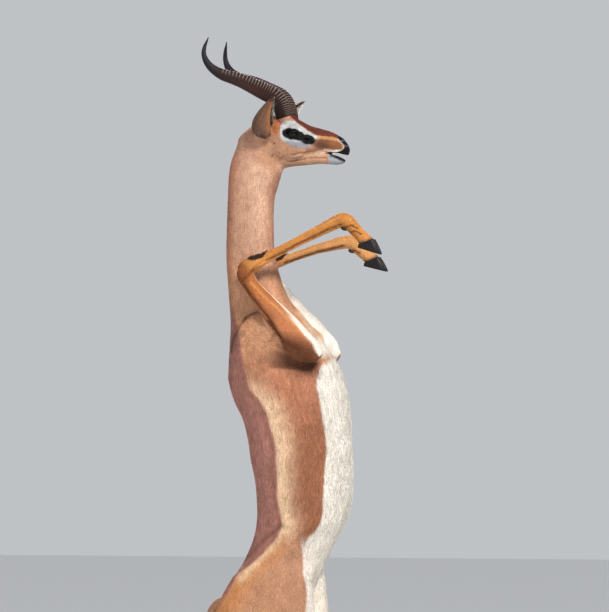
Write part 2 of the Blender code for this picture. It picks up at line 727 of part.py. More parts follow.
def build_ear(side, look):
    """A cup with an open front, on a solid round foot."""
    along, opening, across = ear_frame(side)
    base = Vector(mirrored(EAR_BASE, side)) + along * (GAP / 2)
    length = (Vector(EAR_TIP) - Vector(EAR_BASE)).length
    rows = spline(EAR, 12)
    rings = []
    for share, radius, half_angle in rows:
        middle = base + along * (length * min(share, 1.0)) - opening * (0.004 * math.sin(math.pi * share))
        angles = np.radians(np.linspace(-half_angle, half_angle, 9))
        wall = min(EAR_WALL, radius * 0.5)
        outer = [middle - opening * (radius * EAR_DEPTH * math.cos(a)) + across * (radius * math.sin(a))
                 for a in angles]
        inner_radius = radius - wall
        inner = [middle - opening * (inner_radius * EAR_DEPTH * math.cos(a)) + across * (inner_radius * math.sin(a))
                 for a in angles[::-1]]
        rings.append([tuple(p) for p in outer + inner])
    cup = loft("cup", rings)
    foot_rows = [(*base, 0.0145, 0.0135), (*(base + along * 0.008), 0.0135, 0.0125),
                 (*(base + along * 0.018), 0.0120, 0.0110)]
    foot = loft("foot", foot_rings(foot_rows, along, opening, across))
    boolean(cup, [foot], "UNION")
    largest_body(cup, "ear_left" if side > 0 else "ear_right", look)


def foot_rings(rows, along, opening, across, sides=10):
    turn = np.linspace(0, 2 * math.pi, sides, endpoint=False)
    rings = []
    for x, y, z, half_depth, half_width in rows:
        middle = Vector((x, y, z))
        rings.append([tuple(middle + opening * (half_depth * math.cos(a)) + across * (half_width * math.sin(a)))
                      for a in turn])
    return rings


def build_eye(side, look):
    made = ball("eye_ball", mirrored(EYE_CENTRE, side), (EYE_RADIUS,) * 3, 0, 16)
    largest_body(made, "eye_left" if side > 0 else "eye_right", look)


def claw_rings(side):
    """One claw of a cloven hoof: toe to +X, sole on z = 0."""
    rows = spline(
        (
            (-0.020, 0.0060, 0.0060, 0.020),
            (-0.016, 0.0085, 0.0078, 0.028),
            (-0.007, 0.0095, 0.0088, 0.034),
            (0.009, 0.0095, 0.0090, 0.034),
            (0.022, 0.0090, 0.0082, 0.024),
            (0.034, 0.0070, 0.0060, 0.012),
            (0.041, 0.0055, 0.0025, 0.004),
        ),
        7,
    )
    turn = np.linspace(0, 2 * math.pi, 8, endpoint=False)
    rings = []
    for x, middle, half, height in rows:
        lift = np.clip(0.40 + 0.72 * np.sin(turn), 0, 1)
        spread = side * (middle + max(0.0, x) * 0.10)
        rings.append(np.stack([np.full(8, x), spread + half * np.cos(turn), height * lift], axis=-1))
    return rings


def build_hoof(name, frame, coronet, lean, look):
    """Two claws fused at the heel, cut flat under the pastern, and set in place."""
    hoof = loft("claw", claw_rings(1))
    other = loft("claw_2", claw_rings(-1))
    heel = ball("heel", (-0.006, 0, 0.014), (0.0125, 0.012, 0.0125), 0, 6)
    boolean(hoof, [other, heel], "UNION")
    bpy.ops.mesh.primitive_cube_add(size=1)
    top = bpy.context.object
    tip = Matrix.Translation(coronet) @ Matrix.Rotation(math.radians(-lean), 4, "Y")
    top.data.transform(tip @ Matrix.Translation((0, 0, 0.05 - GAP / 2)) @ Matrix.Diagonal((0.2, 0.2, 0.1, 1)))
    move_to(top, CUTTERS)
    boolean(hoof, [top], "DIFFERENCE")
    hoof.data.transform(frame)
    largest_body(hoof, name, look)


def tuft_lock(rng, number):
    """A flat tapered lock that leaves the tail's end and hangs down."""
    turn = 2 * math.pi * number / TUFT_LOCKS + rng.uniform(-0.2, 0.2)
    level = rng.uniform(0.0, 1.0)
    root = np.array([-0.228, 0.0, 0.565 + 0.045 * level])
    out = np.array([math.cos(turn), math.sin(turn), 0.0])
    side = np.array([-math.sin(turn), math.cos(turn), 0.0])
    length = rng.uniform(0.075, 0.105)
    rings = []
    for share, width, thick in ((0, 0.0045, 0.002), (0.35, 0.0065, 0.0022), (0.72, 0.0045, 0.0016),
                                (1, 0.0008, 0.0005)):
        reach = 0.0015 + 0.011 * math.sin(share * 1.9) * rng.uniform(0.9, 1.1)
        middle = root + out * reach - np.array([0, 0, length * share])
        rings.append([middle + side * width, middle + out * thick, middle - side * width, middle - out * thick])
    return loft(f"lock_{number}", rings)


def build_tail(look):
    rows = [(x, 0, z, depth, width) for x, z, depth, width in TAIL]
    tail = tube("tail_core", rows, 8, 14)
    rng = np.random.default_rng(7)
    boolean(tail, [tuft_lock(rng, i) for i in range(TUFT_LOCKS)], "UNION")
    torso = WHOLE.objects["torso"]
    bpy.context.view_layer.update()
    carve_from(tail, torso)
    largest_body(tail, "tail", look)


def carve_from(made, solid):
    """Cuts a slightly swollen copy of the solid out of the mesh, so that the two meet at the gap."""
    swollen = bpy.data.objects.new("swollen", solid.data.copy())
    CUTTERS.objects.link(swollen)
    shape = bmesh.new()
    shape.from_mesh(swollen.data)
    shape.normal_update()
    for vertex in shape.verts:
        vertex.co += vertex.normal * GAP
    shape.to_mesh(swollen.data)
    shape.free()
    boolean(made, [swollen], "DIFFERENCE")


def build_base(look):
    bpy.ops.mesh.primitive_cube_add(size=1)
    made = bpy.context.object
    made.name = "stand_base"
    move_to(made, WHOLE)
    made.data.transform(
        Matrix.Translation((0, 0, BASE_HEIGHT / 2)) @ Matrix.Diagonal((BASE_LENGTH, BASE_WIDTH, BASE_HEIGHT, 1))
    )
    bevel = made.modifiers.new("edge", "BEVEL")
    bevel.width = BASE_EDGE
    bevel.segments = 2
    made.data.materials.append(look)


def fore_hoof_axes(word):
    """The hoof's frame on a raised foot, and the way its coronet faces."""
    slope = math.radians(FORE_SOLE_SLOPE[word])
    toe = Vector((math.cos(slope), 0, -math.sin(slope)))
    up = Vector((math.sin(slope), 0, math.cos(slope)))
    lean = math.radians(FORE_CORONET_LEAN)
    return Matrix((toe, Vector((0, 1, 0)), up)).transposed().to_4x4(), up * math.cos(lean) - toe * math.sin(lean)


def build_hooves(look):
    for side, word in ((-1, "right"), (1, "left")):
        turn, _ = fore_hoof_axes(word)
        place = Matrix.Translation(mirrored(FORE_CORONET[word], side)) @ turn
        fore = place @ Matrix.Translation(-Vector(CORONET_IN_HOOF))
        build_hoof(f"hoof_fore_{word}", fore, CORONET_IN_HOOF, FORE_CORONET_LEAN, look)
        level = Matrix.Translation((0.001, side * HIND_HOOF_Y, GROUND))
        build_hoof(f"hoof_hind_{word}", level, (0, 0, HOOF_HEIGHT), 0, look)


def main():
    clear_scene()
    pelt = material("pelt", PELT)
    build_body(pelt)
    horn = material("horn", HORN_BROWN)
    eye = material("eye", EYE_BLACK)
    for side in (-1, 1):
        build_ear(side, pelt)
    build_head(pelt)
    for side in (-1, 1):
        build_horn(side, horn)
        build_eye(side, eye)
        build_foreleg(side, pelt)
    build_hooves(material("hoof", HOOF_BLACK))
    build_tail(material("tuft", TUFT_BLACK))
    build_base(material("base", BASE_GREY))
    bpy.context.scene.collection.children.unlink(CUTTERS)


main()
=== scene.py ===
"""Looks of the standing gerenuk ram: one skin, its short coat, horns, eyes, hooves, tail tuft and base.

Metres, +Z up, the animal faces +X. A row of a table is one cross-section and a spline runs through
the rows. The chart is the animal's side seen from 15 degrees ahead of square, 2.6 mm a step, the
same on both sides, and its lines place the markings and the folds.
"""

import math

import bmesh
import bpy
import numpy as np
from mathutils import Matrix, Vector

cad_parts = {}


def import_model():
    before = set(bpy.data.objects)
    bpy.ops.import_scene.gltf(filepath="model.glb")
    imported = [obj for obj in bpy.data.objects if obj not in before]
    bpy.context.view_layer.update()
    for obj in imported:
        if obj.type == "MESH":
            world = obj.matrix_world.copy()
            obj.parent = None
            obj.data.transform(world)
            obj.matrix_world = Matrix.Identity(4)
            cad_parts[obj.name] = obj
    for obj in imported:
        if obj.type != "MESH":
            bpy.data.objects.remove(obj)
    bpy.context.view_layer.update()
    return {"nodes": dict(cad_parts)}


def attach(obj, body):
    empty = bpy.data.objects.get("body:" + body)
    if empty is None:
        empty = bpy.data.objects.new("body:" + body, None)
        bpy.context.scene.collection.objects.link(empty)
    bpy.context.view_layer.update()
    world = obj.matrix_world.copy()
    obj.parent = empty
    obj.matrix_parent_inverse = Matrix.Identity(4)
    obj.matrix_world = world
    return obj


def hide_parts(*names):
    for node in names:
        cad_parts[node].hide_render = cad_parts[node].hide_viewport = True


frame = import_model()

GROUND = 0.0303
BASE_TOP = 0.03
CHART_STEP = 0.0026
CHART_TURN = math.radians(15)
# Where the frame's origin is across the chart, and the base's top down it. Width and height of the framing.
CHART_MIDDLE, CHART_FLOOR = 290, 898
FRAMING = (609, 612)

EYE_CENTRE = (0.0165, 0.0355, 2.0165)
EYE_RADIUS = 0.0155
LID_TURN = math.radians(-12)
GLAND_CENTRE = (0.054, 0.0345, 2.001)
NOSTRIL_CENTRE = (0.151, 0.0125, 1.990)
# Edge of the cells that fuse the head and the body, and the height where the two meshes meet.
HEAD_VOXEL, BODY_VOXEL = 0.0013, 0.0032
NECK_JOIN = 1.868

# Trunk and neck, level sections: height, back edge, front edge, half width.
TRUNK = (
    (2.030, -0.100, -0.039, 0.030),
    (2.001, -0.134, -0.020, 0.041),
    (1.962, -0.153, -0.012, 0.046),
    (1.923, -0.163, -0.020, 0.047),
    (1.884, -0.166, -0.032, 0.045),
    (1.832, -0.168, -0.043, 0.044),
    (1.728, -0.171, -0.043, 0.046),
    (1.676, -0.170, -0.035, 0.049),
    (1.624, -0.166, -0.020, 0.053),
    (1.585, -0.163, -0.001, 0.057),
    (1.546, -0.160, 0.033, 0.062),
    (1.507, -0.160, 0.066, 0.069),
    (1.468, -0.162, 0.095, 0.080),
    (1.429, -0.165, 0.122, 0.094),
    (1.377, -0.163, 0.145, 0.104),
    (1.325, -0.148, 0.156, 0.112),
    (1.273, -0.123, 0.161, 0.117),
    (1.221, -0.109, 0.163, 0.120),
    (1.169, -0.101, 0.166, 0.121),
    (1.117, -0.090, 0.166, 0.119),
    (1.065, -0.085, 0.163, 0.115),
    (1.013, -0.085, 0.150, 0.108),
    (0.961, -0.096, 0.123, 0.098),
    (0.909, -0.121, 0.097, 0.091),
    (0.857, -0.148, 0.074, 0.087),
    (0.805, -0.172, 0.050, 0.081),
    (0.753, -0.200, 0.020, 0.074),
    (0.701, -0.205, -0.041, 0.050),
    (0.675, -0.190, -0.087, 0.025),
)
# Hind leg, level sections: height, back edge, front edge, middle from the midline, half width.
HIND_LEG = (
    (0.955, -0.060, 0.040, 0.050, 0.034),
    (0.905, -0.105, 0.068, 0.058, 0.046),
    (0.860, -0.140, 0.078, 0.062, 0.054),
    (0.800, -0.172, 0.083, 0.066, 0.062),
    (0.740, -0.188, 0.087, 0.072, 0.064),
    (0.685, -0.172, 0.091, 0.076, 0.060),
    (0.635, -0.137, 0.090, 0.079, 0.052),
    (0.585, -0.106, 0.072, 0.081, 0.043),
    (0.530, -0.088, 0.044, 0.083, 0.035),
    (0.480, -0.083, 0.014, 0.084, 0.028),
    (0.430, -0.086, -0.014, 0.085, 0.022),
    (0.392, -0.098, -0.034, 0.085, 0.019),
    (0.368, -0.105, -0.041, 0.085, 0.020),
    (0.342, -0.096, -0.039, 0.085, 0.021),
    (0.310, -0.080, -0.038, 0.085, 0.018),
    (0.265, -0.070, -0.038, 0.085, 0.0145),
    (0.200, -0.061, -0.031, 0.085, 0.0132),
    (0.145, -0.053, -0.022, 0.085, 0.0140),
    (0.118, -0.054, -0.010, 0.085, 0.0180),
    (0.098, -0.043, 0.000, 0.085, 0.0165),
    (0.078, -0.029, 0.011, 0.085, 0.0155),
    (0.062, -0.022, 0.020, 0.085, 0.0180),
    (0.050, -0.016, 0.026, 0.085, 0.0160),
)
# Limb stations: x, distance from the midline, z, half depth, half width.
SCAPULA = (
    (-0.140, 0.036, 1.456, 0.018, 0.010),
    (-0.125, 0.050, 1.463, 0.048, 0.018),
    (-0.085, 0.060, 1.485, 0.058, 0.026),
    (-0.040, 0.071, 1.498, 0.057, 0.031),
    (0.010, 0.082, 1.490, 0.047, 0.034),
    (0.050, 0.090, 1.470, 0.036, 0.032),
    (0.076, 0.093, 1.455, 0.022, 0.022),
)
UPPER_ARM = (
    (-0.130, 0.044, 1.422, 0.018, 0.010),
    (-0.091, 0.056, 1.430, 0.030, 0.016),
    (-0.055, 0.067, 1.433, 0.034, 0.025),
    (-0.020, 0.079, 1.435, 0.034, 0.031),
    (0.051, 0.090, 1.448, 0.031, 0.031),
    (0.086, 0.094, 1.448, 0.024, 0.026),
    (0.102, 0.094, 1.447, 0.014, 0.016),
)
TRICEPS = (
    (-0.120, 0.044, 1.488, 0.024, 0.012),
    (-0.085, 0.060, 1.490, 0.038, 0.020),
    (-0.035, 0.075, 1.484, 0.038, 0.026),
    (0.015, 0.087, 1.478, 0.032, 0.028),
    (0.050, 0.093, 1.468, 0.024, 0.024),
)
FOREARM_RIGHT = (
    (0.106, 0.094, 1.432, 0.014, 0.014),
    (0.081, 0.096, 1.450, 0.034, 0.029),
    (0.045, 0.098, 1.476, 0.041, 0.031),
    (0.018, 0.099, 1.505, 0.0405, 0.031),
    (-0.001, 0.100, 1.530, 0.0355, 0.0285),
    (-0.032, 0.101, 1.569, 0.0275, 0.0245),
    (-0.058, 0.101, 1.597, 0.0240, 0.0220),
    (-0.077, 0.101, 1.621, 0.0212, 0.0195),
    (-0.092, 0.100, 1.645, 0.0225, 0.0195),
    (-0.102, 0.099, 1.663, 0.0180, 0.0170),
)
CANNON_RIGHT = (
    (-0.106, 0.099, 1.655, 0.0160, 0.0160),
    (-0.088, 0.099, 1.667, 0.0220, 0.0200),
    (-0.064, 0.098, 1.679, 0.0190, 0.0175),
    (-0.040, 0.097, 1.690, 0.0150, 0.0145),
    (0.014, 0.093, 1.717, 0.0132, 0.0128),
    (0.085, 0.089, 1.752, 0.0148, 0.0138),
    (0.133, 0.086, 1.776, 0.0178, 0.0165),
    (0.160, 0.084, 1.788, 0.0200, 0.0180),
    (0.177, 0.083, 1.783, 0.0198, 0.0172),
    (0.192, 0.083, 1.768, 0.0180, 0.0162),
    (0.210, 0.082, 1.749, 0.0172, 0.0170),
    (0.2265, 0.082, 1.732, 0.0185, 0.0180),
    (0.238, 0.082, 1.720, 0.0150, 0.0160),
)
FOREARM_LEFT = (
    (0.106, 0.094, 1.434, 0.014, 0.014),
    (0.080, 0.096, 1.451, 0.034, 0.029),
    (0.049, 0.098, 1.478, 0.040, 0.031),
    (0.024, 0.099, 1.508, 0.039, 0.031),
    (0.000, 0.100, 1.537, 0.0325, 0.0280),
    (-0.030, 0.101, 1.578, 0.0265, 0.0245),
    (-0.062, 0.101, 1.620, 0.0215, 0.0205),
    (-0.083, 0.101, 1.645, 0.0200, 0.0185),
    (-0.098, 0.100, 1.664, 0.0225, 0.0195),
    (-0.108, 0.099, 1.682, 0.0180, 0.0170),
)
CANNON_LEFT = (
    (-0.114, 0.099, 1.668, 0.0160, 0.0160),
    (-0.096, 0.098, 1.675, 0.0220, 0.0200),
    (-0.072, 0.096, 1.683, 0.0180, 0.0175),
    (-0.045, 0.094, 1.690, 0.0145, 0.0145),
    (-0.011, 0.092, 1.701, 0.0132, 0.0128),
    (0.046, 0.088, 1.719, 0.0142, 0.0138),
    (0.085, 0.085, 1.728, 0.0160, 0.0150),
    (0.115, 0.082, 1.735, 0.0180, 0.0168),
    (0.138, 0.080, 1.737, 0.0190, 0.0178),
    (0.155, 0.079, 1.728, 0.0190, 0.0172),
    (0.173, 0.078, 1.713, 0.0178, 0.0162),
    (0.189, 0.077, 1.700, 0.0175, 0.0170),
    (0.2010, 0.077, 1.690, 0.0185, 0.0180),
    (0.212, 0.077, 1.681, 0.0150, 0.0160),
)
# Head, upright sections: x, top, bottom, half width.
SKULL = (
    (-0.140, 2.004, 1.965, 0.018),
    (-0.126, 2.020, 1.950, 0.033),
    (-0.108, 2.035, 1.940, 0.041),
    (-0.090, 2.046, 1.935, 0.044),
    (-0.070, 2.056, 1.932, 0.047),
    (-0.048, 2.064, 1.932, 0.049),
    (-0.024, 2.068, 1.935, 0.051),
    (0.000, 2.065, 1.942, 0.050),
    (0.027, 2.053, 1.950, 0.045),
    (0.054, 2.039, 1.957, 0.037),
    (0.081, 2.031, 1.961, 0.030),
    (0.108, 2.023, 1.965, 0.025),
    (0.129, 2.013, 1.965, 0.023),
    (0.143, 2.004, 1.961, 0.021),
    (0.154, 1.991, 1.961, 0.0175),
    (0.160, 1.979, 1.965, 0.009),
)
JAW = (
    (-0.050, 1.975, 1.936, 0.024),
    (-0.038, 1.980, 1.931, 0.029),
    (-0.019, 1.980, 1.928, 0.030),
    (0.013, 1.976, 1.932, 0.026),
    (0.054, 1.972, 1.935, 0.021),
    (0.081, 1.968, 1.937, 0.0180),
    (0.102, 1.963, 1.936, 0.0165),
    (0.115, 1.9605, 1.9345, 0.0155),
    (0.128, 1.9555, 1.9343, 0.0135),
    (0.140, 1.9500, 1.9365, 0.0100),
    (0.1485, 1.9462, 1.9410, 0.0045),
)
# Where the cheeks join the jaws, behind the corner of the mouth.
MOUTH_JOIN = (
    (0.000, 1.978, 1.945, 0.0260),
    (0.050, 1.972, 1.945, 0.0215),
    (0.085, 1.970, 1.945, 0.0185),
    (0.1030, 1.969, 1.946, 0.0178),
    (0.1110, 1.968, 1.952, 0.0172),
)
# Lip stations, as a limb's.
UPPER_LIP = (
    (0.104, 0.0176, 1.9680, 0.0022, 0.0026),
    (0.114, 0.0180, 1.9692, 0.0030, 0.0032),
    (0.130, 0.0165, 1.9682, 0.0036, 0.0036),
    (0.144, 0.0120, 1.9645, 0.0038, 0.0038),
    (0.153, 0.0060, 1.9625, 0.0036, 0.0038),
    (0.156, 0.0005, 1.9625, 0.0032, 0.0038),
)
LOWER_LIP = (
    (0.110, 0.0150, 1.9610, 0.0022, 0.0024),
    (0.119, 0.0142, 1.9585, 0.0030, 0.0030),
    (0.130, 0.0120, 1.9540, 0.0036, 0.0034),
    (0.141, 0.0078, 1.9490, 0.0034, 0.0034),
    (0.1475, 0.0005, 1.9460, 0.0028, 0.0032),
)
# Horn stations: x, distance from the midline, z, half depth, half width.
HORN = (
    (-0.001, 0.022, 2.030, 0.0195, 0.0165),
    (-0.005, 0.025, 2.048, 0.0200, 0.0170),
    (-0.010, 0.029, 2.068, 0.0212, 0.0175),
    (-0.019, 0.034, 2.093, 0.0218, 0.0176),
    (-0.034, 0.041, 2.112, 0.0220, 0.0175),
    (-0.055, 0.048, 2.124, 0.0218, 0.0172),
    (-0.084, 0.061, 2.139, 0.0198, 0.0158),
    (-0.110, 0.073, 2.152, 0.0180, 0.0144),
    (-0.134, 0.082, 2.161, 0.0165, 0.0134),
    (-0.158, 0.090, 2.169, 0.0145, 0.0120),
    (-0.182, 0.096, 2.184, 0.0112, 0.0100),
    (-0.197, 0.100, 2.202, 0.0086, 0.0080),
    (-0.204, 0.102, 2.222, 0.0064, 0.0060),
    (-0.203, 0.098, 2.241, 0.0048, 0.0046),
    (-0.199, 0.091, 2.256, 0.0028, 0.0028),
    (-0.196, 0.086, 2.267, 0.0006, 0.0006),
)
# The raised forefeet: where each coronet is, the slope of its sole and the lean of its coronet, in degrees.
FORE_CORONET = {"right": (0.2265, 0.082, 1.732), "left": (0.2010, 0.077, 1.690)}
FORE_SOLE_SLOPE = {"right": 17.5, "left": 14}
FORE_CORONET_LEAN = 37
CORONET_IN_HOOF = (-0.004, 0, 0.021)
HORN_RINGS = 30
HORN_RINGED_SHARE = 0.66
# Ear stations along its length: share, half width of the cup, half angle of its wall in degrees.
EAR_BASE = (-0.0600, 0.0510, 2.0160)
EAR_TIP = (0.001, 0.142, 2.108)
EAR_OPENING = (0.98, -0.02, 0.05)
EAR = (
    (0.00, 0.0210, 150),
    (0.10, 0.0275, 142),
    (0.25, 0.0290, 130),
    (0.45, 0.0245, 116),
    (0.65, 0.0180, 104),
    (0.82, 0.0120, 92),
    (0.94, 0.0074, 80),
    (1.00, 0.0034, 70),
)
EAR_DEPTH = 1.15
EAR_WALL = 0.0022
# Tail stations: x, z, half depth, half width.
TAIL = (
    (-0.165, 0.800, 0.018, 0.020),
    (-0.196, 0.786, 0.016, 0.018),
    (-0.217, 0.755, 0.012, 0.015),
    (-0.228, 0.715, 0.0095, 0.012),
    (-0.232, 0.665, 0.0080, 0.0095),
    (-0.231, 0.615, 0.0070, 0.0080),
    (-0.228, 0.575, 0.0060, 0.0070),
    (-0.226, 0.550, 0.0040, 0.0050),
)

# The nodes that the skin replaces.
FLESH = [
    "torso", "neck", "head", "lower_jaw", "ear_left", "ear_right", "tail",
    "forearm_left", "forearm_right", "cannon_fore_left", "cannon_fore_right",
    "thigh_left", "thigh_right", "shank_left", "shank_right", "cannon_hind_left", "cannon_hind_right",
]
HIND_HOOF_Y = 0.085
HOOF_HEIGHT = 0.0315
HORN_AXIS = Vector((-0.006, 0.004, 0.020)).normalized()
HORN_FOOT = (-0.0074, 0.0271, 2.0580)

# Lines of the chart: across, down.
SADDLE_LINE = (
    (224, 262), (231, 290), (235, 312), (238, 330), (240, 349), (242, 360), (246, 374), (249.5, 386),
    (258, 397), (264.6, 408), (270, 423), (273.3, 437), (275.7, 451), (276.8, 473), (278.4, 495),
    (280, 511), (283, 524), (279, 535), (270, 545), (259, 556), (248, 566), (240, 572), (234, 582),
    (226, 598), (218, 614), (200, 640),
)
BELLY_LINE = (
    (352, 346), (333, 356), (321, 366), (317.5, 374), (316.5, 380), (316, 388), (318.8, 400),
    (322, 417), (324.3, 432), (326, 450), (324, 484), (322, 506), (320.5, 519), (316, 529),
    (309.7, 535), (306.4, 541), (305, 552), (306, 570), (309, 600), (311, 640),
)
NECK_FRONT = (
    (290, 150), (281, 168), (276, 185), (274.5, 205), (274, 240), (276, 262), (283, 290), (296, 318),
    (306, 345),
)
NECK_BACK = (
    (260, 118), (247, 128), (239.5, 137), (233.5, 155), (230.8, 166), (228.6, 180), (226.5, 223),
    (226, 246), (227, 269), (229, 287), (230.5, 312), (230.5, 345), (227, 370),
)
CHEST_LINE = ((296, 312), (301, 318), (306, 335), (318, 352))
FLANK_FOLD = ((285, 500), (286.5, 516), (284, 530), (274, 543), (262, 554), (250, 566), (242, 577))
HIP_LINE = ((248, 570), (283, 532), (306, 542))
THIGH_FRONT = ((302, 545), (304, 570), (306, 590), (306, 640))
BLAZE_LINE = (
    (286, 112), (291.3, 117.5), (296.4, 121.4), (302.8, 126.5), (307.9, 130.3), (313, 133.5),
    (318, 136), (326, 136.4), (335, 138), (339, 138.8),
)
RING_TOP = (
    (279.5, 132), (280.3, 128.5), (281.3, 124.8), (283.5, 121.6), (288, 120.2), (293, 120.6),
    (296.4, 122.2), (302.8, 127.2), (307.9, 131), (313, 134.2), (318, 136.6), (334, 139.5),
)
RING_LOW = (
    (279.5, 132), (281, 137.5), (284, 141.5), (288.5, 144.6), (294, 146.6), (302, 148.2),
    (308, 147.4), (312, 144.5), (315, 140), (318, 137.6), (334, 139.8),
)
CHEEK_LINE = (
    (270, 168), (280, 162), (286, 157.5), (292, 155), (298, 153.2), (305, 152.6), (313, 151.3), (326, 149),
)
FACE_LINES = (
    ((292, 155), (298, 153.2), (305, 152.6), (313, 151.3), (326, 149)),
    ((287.5, 161.5), (298, 160.2), (307, 158.3), (316, 157.8), (326, 158)),
)
NOSE_LINE = (
    (337.5, 134), (338.3, 139), (340.8, 142), (343.4, 145), (344.8, 147), (344.3, 149), (341.5, 151),
    (336, 153),
)
UPPER_LIP_LINE = ((329, 153.2), (334, 153.9), (341, 154.6), (347, 154.6))
LOWER_LIP_LINE = ((330, 154.2), (334, 155.8), (338, 157.6), (342, 159.6), (345.5, 161.2))
LOWER_LIP_WIDTH = ((329, 0.7), (334, 1.2), (340, 2.1), (346, 2.3))

# Ovals of the chart: centre, radii, turn in degrees.
OVALS = {
    "low flank": ((318, 480), (27, 74), 0),
    # Painted shadow in the arm pit, under the elbow.
    "arm pit": ((300, 360), (29, 16), 12),
    # Painted shade on the forearm's end by the elbow.
    "elbow": ((300, 354), (30, 16), 24),
    "horn foot": ((277, 126), (6.0, 8.5), 0),
    "muzzle side": ((319.5, 145.2), (9.0, 3.4), 16),
    "lip side": ((322, 151.6), (9.5, 2.4), -8),
    "eye": ((292.0, 133.8), (9.6, 5.7), 10),
    "gland": ((307.6, 139.6), (8.0, 4.9), 14),
    "bridge": ((299.8, 136.2), (7.0, 4.5), 24),
    "white lip": ((335, 151.6), (7.5, 1.3), -3),
    "nostril": ((344.9, 143.9), (2.9, 1.25), 36),
}
# Small dark spots on cheek and neck: centre and radii on the chart.
SPOTS = (
    ((272.8, 154.8), (0.7, 1.7)),
    ((275, 143), (1.2, 0.9)),
    ((247, 138), (0.7, 0.6)),
    ((249.5, 141), (0.6, 0.5)),
    ((279.5, 152.5), (0.7, 0.5)),
    ((281.5, 157.5), (0.8, 0.5)),
)
SPOT_TURN = 8

# Where one colour gives way to another: the place, and the width of the change.
# These are steps of the chart, or metres for a height and for the brow.
CHANGES = {
    "skull height": (1.98, 0.05),
    "nape": (5.5, 9),
    "low neck": (262, 60),
    "neck middle": (258, 12),
    "upper neck": (250, 90),
    # Where the painted shade along the throat fades out.
    "throat": (5, 11),
    "trunk": (306, 44),
    "band": (384, 50),
    "flank edge": (-9, 16),
    "low ribs": (395, 60),
    "ribs": (362, 40),
    "saddle rim": (-3, 4.5),
    "saddle": (0, 3.2),
    "belly": (0, 3.0),
    "belly top": (344, 8),
    "chest": (0, 6),
    "chest top": (308, 8),
    "chest foot": (356, 10),
    # Where the painted shadow in the arm pit ends towards the front.
    "arm pit": (321, 8),
    "breast": (318, 8),
    "breast top": (326, 12),
    "breast foot": (356, 6),
    "hip": (0, 22),
    "rump": (596, 40),
    "low leg height": (0.62, 0.25),
    "thigh back": (15, 30),
    "thigh middle": (284, 30),
    "thigh front": (0, 3),
    "hock height": (0.42, 0.2),
    "groin height": (0.84, 0.08),
    "forearm height": (1.58, 0.10),
    "elbow height": (1.475, 0.03),
    "white edge height": (1.645, 0.03),
    "tail tuft height": (0.665, 0.05),
    "cheek": (262, 24),
    "under cheek": (0, 2),
    "behind cheek": (276, 14),
    "jaw": (159.5, 2.0),
    "jaw back": (284, 10),
    "jaw edge": (164, 1.5),
    "jaw edge back": (284, 8),
    "muzzle": (315, 10),
    "muzzle foot": (149.5, 4),
    "nose side": (328, 8),
    "nose side foot": (150.0, 3),
    "nose side top": (141, 3),
    "mouth corner": (327.5, 0.9),
    "mouth corner top": (158, 2),
    "blaze foot": (0, 1.5),
    "pale stripe": (-3.4, 1.8),
    "pale stripe back": (312, 8),
    "pale stripe front": (338, 5),
    "ring top": (0, 1.4),
    "ring foot": (0, 1.8),
    "ring back": (280.3, 1.6),
    "ring front": (319, 7),
    # Where the painted shade on the white ring begins.
    "ring shade": (141, 4),
    "blaze": (0, 1.3),
    "brow": (-0.012, 0.02),
    "blaze front": (322, 14),
    "crown height": (2.045, 0.02),
    # Where the painted shade on the white chin begins.
    "chin": (154.5, 1.5),
    "chin back": (328, 1.6),
    "nose": (0, 1.2),
    "nose rim": (-1.3, 0.9),
}

